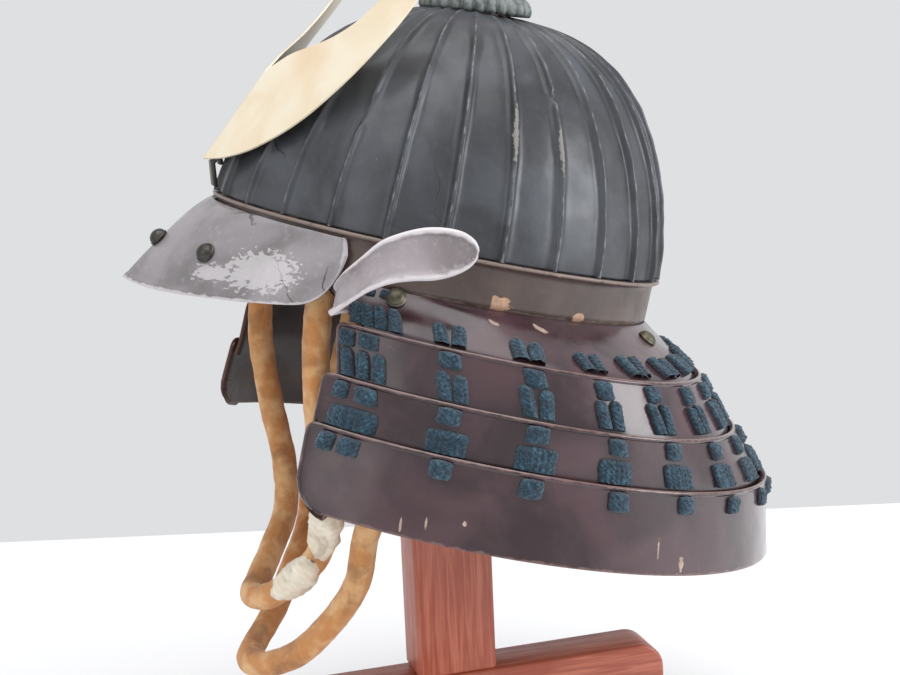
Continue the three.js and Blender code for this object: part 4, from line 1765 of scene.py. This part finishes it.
        bm = self.tube(path, radius, 24)
        cord = Piece("chin_cord_cloth", bm, [cloth], Slot.CLOTH, ["chin_cord"],
                     frame=STANDING).build()
        world = [STANDING @ p for p in path]
        length = sum((b - a).length for a, b in zip(world, world[1:]))
        for label, height, start, stop in (("upper", -128, 0.8, 0.95), ("lower", -158, 0.8, 0.9)):
            low = int(start * len(path))
            high = int(stop * len(path))
            middle = min(range(low, high), key=lambda k: abs(path[k].z - height))
            self.lump(label, path, middle, stuffing)
        tuple(world[0])
        [tuple(p) for p in world]
        LOG.info("chin cord: %.0f mm long", length / MM)

    def lump(self, label: str, path: Sequence[Vector], middle: int,
             stuffing: bpy.types.Material) -> bpy.types.Object:
        """Builds a bulge of cotton that has worked out of a tear.

        Args:
            label: a word for its name.
            path: the cord's route.
            middle: the route's step at the tear's middle.
            stuffing: the cotton's finish.
        """
        span = 11
        collars = self.collars(path)
        rows = list(range(middle - span, middle + span + 1))
        turns = [math.tau * k / 40 for k in range(41)]
        across, up = collars[middle]
        view = Vector((0.9, -0.3, 0.15)).normalized()
        facing = math.atan2(view.dot(up), view.dot(across))

        def place(turn: float, k: float) -> Vector:
            """Returns a point of the skin round the route.

            Args:
                turn: round the tube in radians.
                k: number of the route's point.
            """
            a, u = collars[int(k)]
            way = a * math.cos(turn) + u * math.sin(turn)
            near = math.cos(turn - facing) * 0.5 + 0.5
            along = 1 - ((k - middle) / span) ** 2
            around = Vector((math.cos(turn), math.sin(turn), k * 0.15))
            open_here = near * 1.25 + along * 0.75 - 1.05 + 0.28 * rough(around, 0.5, 3)
            bulge = smooth(0.0, 0.6, open_here) * 3.6 - 1.3
            bulge += 0.9 * rough(around, 0.42, 9) * smooth(0, 0.3, open_here)
            bulge += 0.35 * rough(around, 0.16, 9) * smooth(0, 0.3, open_here)
            return path[int(k)] + way * (self.diameter / 2 + bulge)

        bm = sheet_mesh(turns, rows, place, closed=True)
        return Piece(f"cord_stuffing_{label}", bm, [stuffing], Slot.CLOTH, frame=STANDING).build()


# ---- Stand and small ironwork ----
def merged(solid: bpy.types.Object) -> bmesh.types.BMesh:
    """Returns a copy of a solid's mesh with its doubled corners merged.

    Args:
        solid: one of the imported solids.
    """
    bm = bmesh.new()
    bm.from_mesh(solid.data)
    bmesh.ops.remove_doubles(bm, verts=bm.verts, dist=1e-6)
    return bm


@dataclass(frozen=True)
class EasedSolids:
    """Plain solids that only need eased edges: the stand's timbers and the crest's bracket."""

    flat: float = math.radians(2)  # faces that meet flatter than this are one
    # Solid, whether it is iron, whether its grain stands upright, and the edge's width.
    rows: tuple[tuple[str, bool, bool, float], ...] = (
        ("crest_bracket", True, False, 0.5),
        ("stand_board", False, False, 2.0),
        ("stand_plank", False, False, 1.6),
        ("stand_post", False, True, 1.6),
        ("crown_rest", False, True, 1.0),
    )

    def build(self, nodes: dict[str, bpy.types.Object], iron: bpy.types.Material,
              plank: bpy.types.Material, post: bpy.types.Material) -> None:
        """Builds an eased copy of each solid.

        Args:
            nodes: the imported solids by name.
            iron: the bracket's finish.
            plank: wood with its grain along the plank.
            post: wood with its grain upright.
        """
        for node, is_iron, upright, width in self.rows:
            bm = merged(nodes[node])
            bmesh.ops.dissolve_limit(bm, angle_limit=self.flat, verts=bm.verts, edges=bm.edges)
            finish = iron if is_iron else post if upright else plank
            slot = Slot.IRON if is_iron else Slot.WOOD
            Piece(f"{node}_dressed", bm, [finish], slot, [node], frame=Matrix.Identity(4),
                  bevel=width).build()


@dataclass(frozen=True)
class CordRings:
    """The two iron rings inside the rim that carry the chin cord."""

    levels: int = 2

    def build(self, nodes: dict[str, bpy.types.Object], iron: bpy.types.Material) -> None:
        """Builds both rings, rounded from their solids.

        Args:
            nodes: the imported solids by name.
            iron: the rings' finish.
        """
        for label in ("left", "right"):
            node = f"cord_ring_{label}"
            ring = Piece(f"{node}_wire", merged(nodes[node]), [iron], Slot.IRON, [node],
                         frame=Matrix.Identity(4)).build()
            rounder = ring.modifiers.new("rounder", "SUBSURF")
            rounder.levels = rounder.render_levels = self.levels


# ---- Finishes of this helmet ----
# Tan cotton with a nap and no shine, darker where hands have been.
CORD_CLOTH = Cloth("Cord cotton, dyed and handled", "#cf8f52", "#e8ba84", "#9c6a40")
# Cream cotton in soft, matt lumps.
STUFFING = Cloth("Cotton stuffing, loose and grimed", "#efe3cc", "#fbf4e4", "#b9a88c",
                 weave=2.3, fuzz=0.4)
# Satin black that clouds to grey, with broken lacquer down two seams.
# Pale lines along the seam ridges: partly wear, partly a painted highlight.
BOWL_LACQUER = Lacquer(
    "Black lacquer on riveted iron, cracked and rubbed along the seams",
    "#282a2e", "#43464c", "#777a7d", "#8b8377", roughness=0.33, dull=0.52, edge_width=0.85,
    coat=0.15, wrinkle=0.18,
    crack_size=42, crack_share=0.42, speckle=0.07,
    flakes=(Spot(0.6, 63, 1.5, 13), Spot(24.6, 60, 1.4, 10)))
# Browner and duller than the bowl, chipped to its tan ground along the foot.
BAND_LACQUER = Lacquer(
    "Brown black lacquer on iron, dulled by dust",
    "#43342f", "#5b4a43", "#85746c", "#d9a982", roughness=0.38, dull=0.56,
    edge_width=0.8,
    flakes=(Spot(-13.5, -20.5, 5, 2.2), Spot(1.5, -18.5, 3.4, 3.4), Spot(25, -20, 2, 2.6)),
    dark_spots=(Spot(62, -20, 2, 3),))
# Deep purple brown with the sheen of polished lacquer, and dull clouds.
ROW_LACQUER = Lacquer(
    "Purple brown lacquer on rawhide, glossy with dull clouds",
    "#2b171c", "#4a3137", "#765a55", "#cbb6a3", roughness=0.16, dull=0.33,
    crack_share=0.2, edge_width=1.3, speckle=0.05, wrinkle=0.07, coat=0.5)
# The same, with small losses below the band and one dark patch under the fourth column's braid on
# the left.
TOP_ROW = replace(
    ROW_LACQUER, name="Purple brown lacquer on rawhide, lost in patches under the band",
    flakes=(Spot(85, 12.4, 2.2, 2.2), Spot(113, 10.6, 2.8, 3.2)),
    dark_spots=(Spot(141, 24, 5.5, 7),))
# The same, with a chip and a few short scratches above the hem.
HEM_ROW = replace(
    ROW_LACQUER, name="Purple brown lacquer on rawhide, chipped and scratched at the hem",
    flakes=(Spot(184, 33.4, 1.6, 3.6), Spot(78, 27.2, 0.9, 1.2), Spot(51, 34, 0.5, 3.4),
            Spot(61.7, 31, 0.5, 3), Spot(169.5, 27, 0.5, 5)))
# Silvery grey with fine cracks, and a pale flaked patch on the left lobe.
VISOR_LACQUER = Lacquer(
    "Silver grey lacquer, thin and flaking",
    "#6f6b6c", "#918b8e", "#c4bfc1", "#ddd6d6", roughness=0.25, dull=0.44, edge_width=1.2,
    crack_share=0.5, crack_size=24, speckle=0.2,
    pale_spots=(Spot(57, 31, 15, 12), Spot(38, 36, 7, 5)))
# Paler silvery grey than the visor, partly painted light on this lit face, brightest along the
# rim from wear and a painted highlight.
LEAF_LACQUER = Lacquer(
    "Silver grey lacquer, worn pale along the rolled rim",
    "#7f7678", "#a39a9d", "#dcd6d8", "#ddd6d6", roughness=0.24, dull=0.42, edge_width=2.6,
    crack_share=0.15, crack_size=30, speckle=0.2)
# Dusty brown that hardly shines.
INNER_LACQUER = Lacquer(
    "Plain brown lacquer inside, dusty",
    "#2a2120", "#3d302c", "#5d4d45", "#6d5846", roughness=0.5, dull=0.7)
# Near black with soft highlights.
IRON = Metal("Blackened iron, rubbed by hand", "#4c4a46", "#2c2b29", "#6b665c", 0.3)
# Dull olive brown.
OLIVE_IRON = Metal("Iron with an olive brown patina", "#6a6656", "#3f3c31", "#7d7664", 0.42,
              0.7)
# Pale cream gold, thinly laid, with warmer stains.
GILT = Metal("Gilt copper sheet, thin and pale", "#ece1ca", "#e6d6b8", "#e3c09a", 0.36,
             0.2, patch=26, scratch=0.25)
# Chalky grey green.
PATINA = Metal("Copper alloy with grey green patina", "#7f8584", "#575d5c", "#a0a5a2", 0.5,
               0.5, patch=3)
# Warm brown with darker tarnish.
COPPER = Metal("Browned copper, fluted", "#9c7662", "#6d5044", "#c0a08a", 0.42, 0.7,
               patch=4)
# Dark indigo, paler blue in patches and in painted highlights, painted shade in its grooves, no
# shine.
BRAID = Braid("Indigo silk braid, with painted highlights and shade", "#1d4a62", "#4a8099", "#081824")
# Brick red stain over darker grain, under a dull varnish. The post is the same, upright.
PLANK_WOOD = Wood("Red stained softwood, grain along the plank", "#c8745b", "#a9553f",
                  (1, 22, 1))
POST_WOOD = Wood("Red stained softwood, grain along the post", "#c8745b", "#a9553f",
                 (1, 1, 22))


def main() -> None:
    """Builds the helmet piece by piece on its frame and hides the solids that each stands for."""
    logging.basicConfig(level=logging.INFO, format="%(name)s: %(message)s")
    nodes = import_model()["nodes"]
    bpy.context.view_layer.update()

    studio = Studio()
    studio.camera()
    ChinCord().build(CORD_CLOTH.build(), STUFFING.build())
    studio.room()

    inner, iron = INNER_LACQUER.build(), IRON.build()
    Bowl().build(BOWL_LACQUER.build(), inner)
    WaistBand().build(BAND_LACQUER.build())
    guard = NeckGuard()
    middle_row = ROW_LACQUER.build()
    guard.build([TOP_ROW.build(), middle_row, middle_row, HEM_ROW.build()], inner)
    leaf = LEAF_LACQUER.build()
    for side in (1, -1):
        TurnBack().build(side, leaf)
    visor = Visor()
    visor.build(VISOR_LACQUER.build(), inner)
    visor.rivets(iron)
    guard.rivets(OLIVE_IRON.build())
    Crest().build(GILT.build())
    Finial().build(PATINA.build(), COPPER.build())
    Lacing(guard, BRAID.build()).build()
    EasedSolids().build(nodes, iron, PLANK_WOOD.build(), POST_WOOD.build())
    CordRings().build(nodes, iron)

    bpy.context.view_layer.update()


if __name__ == "__main__":
    main()
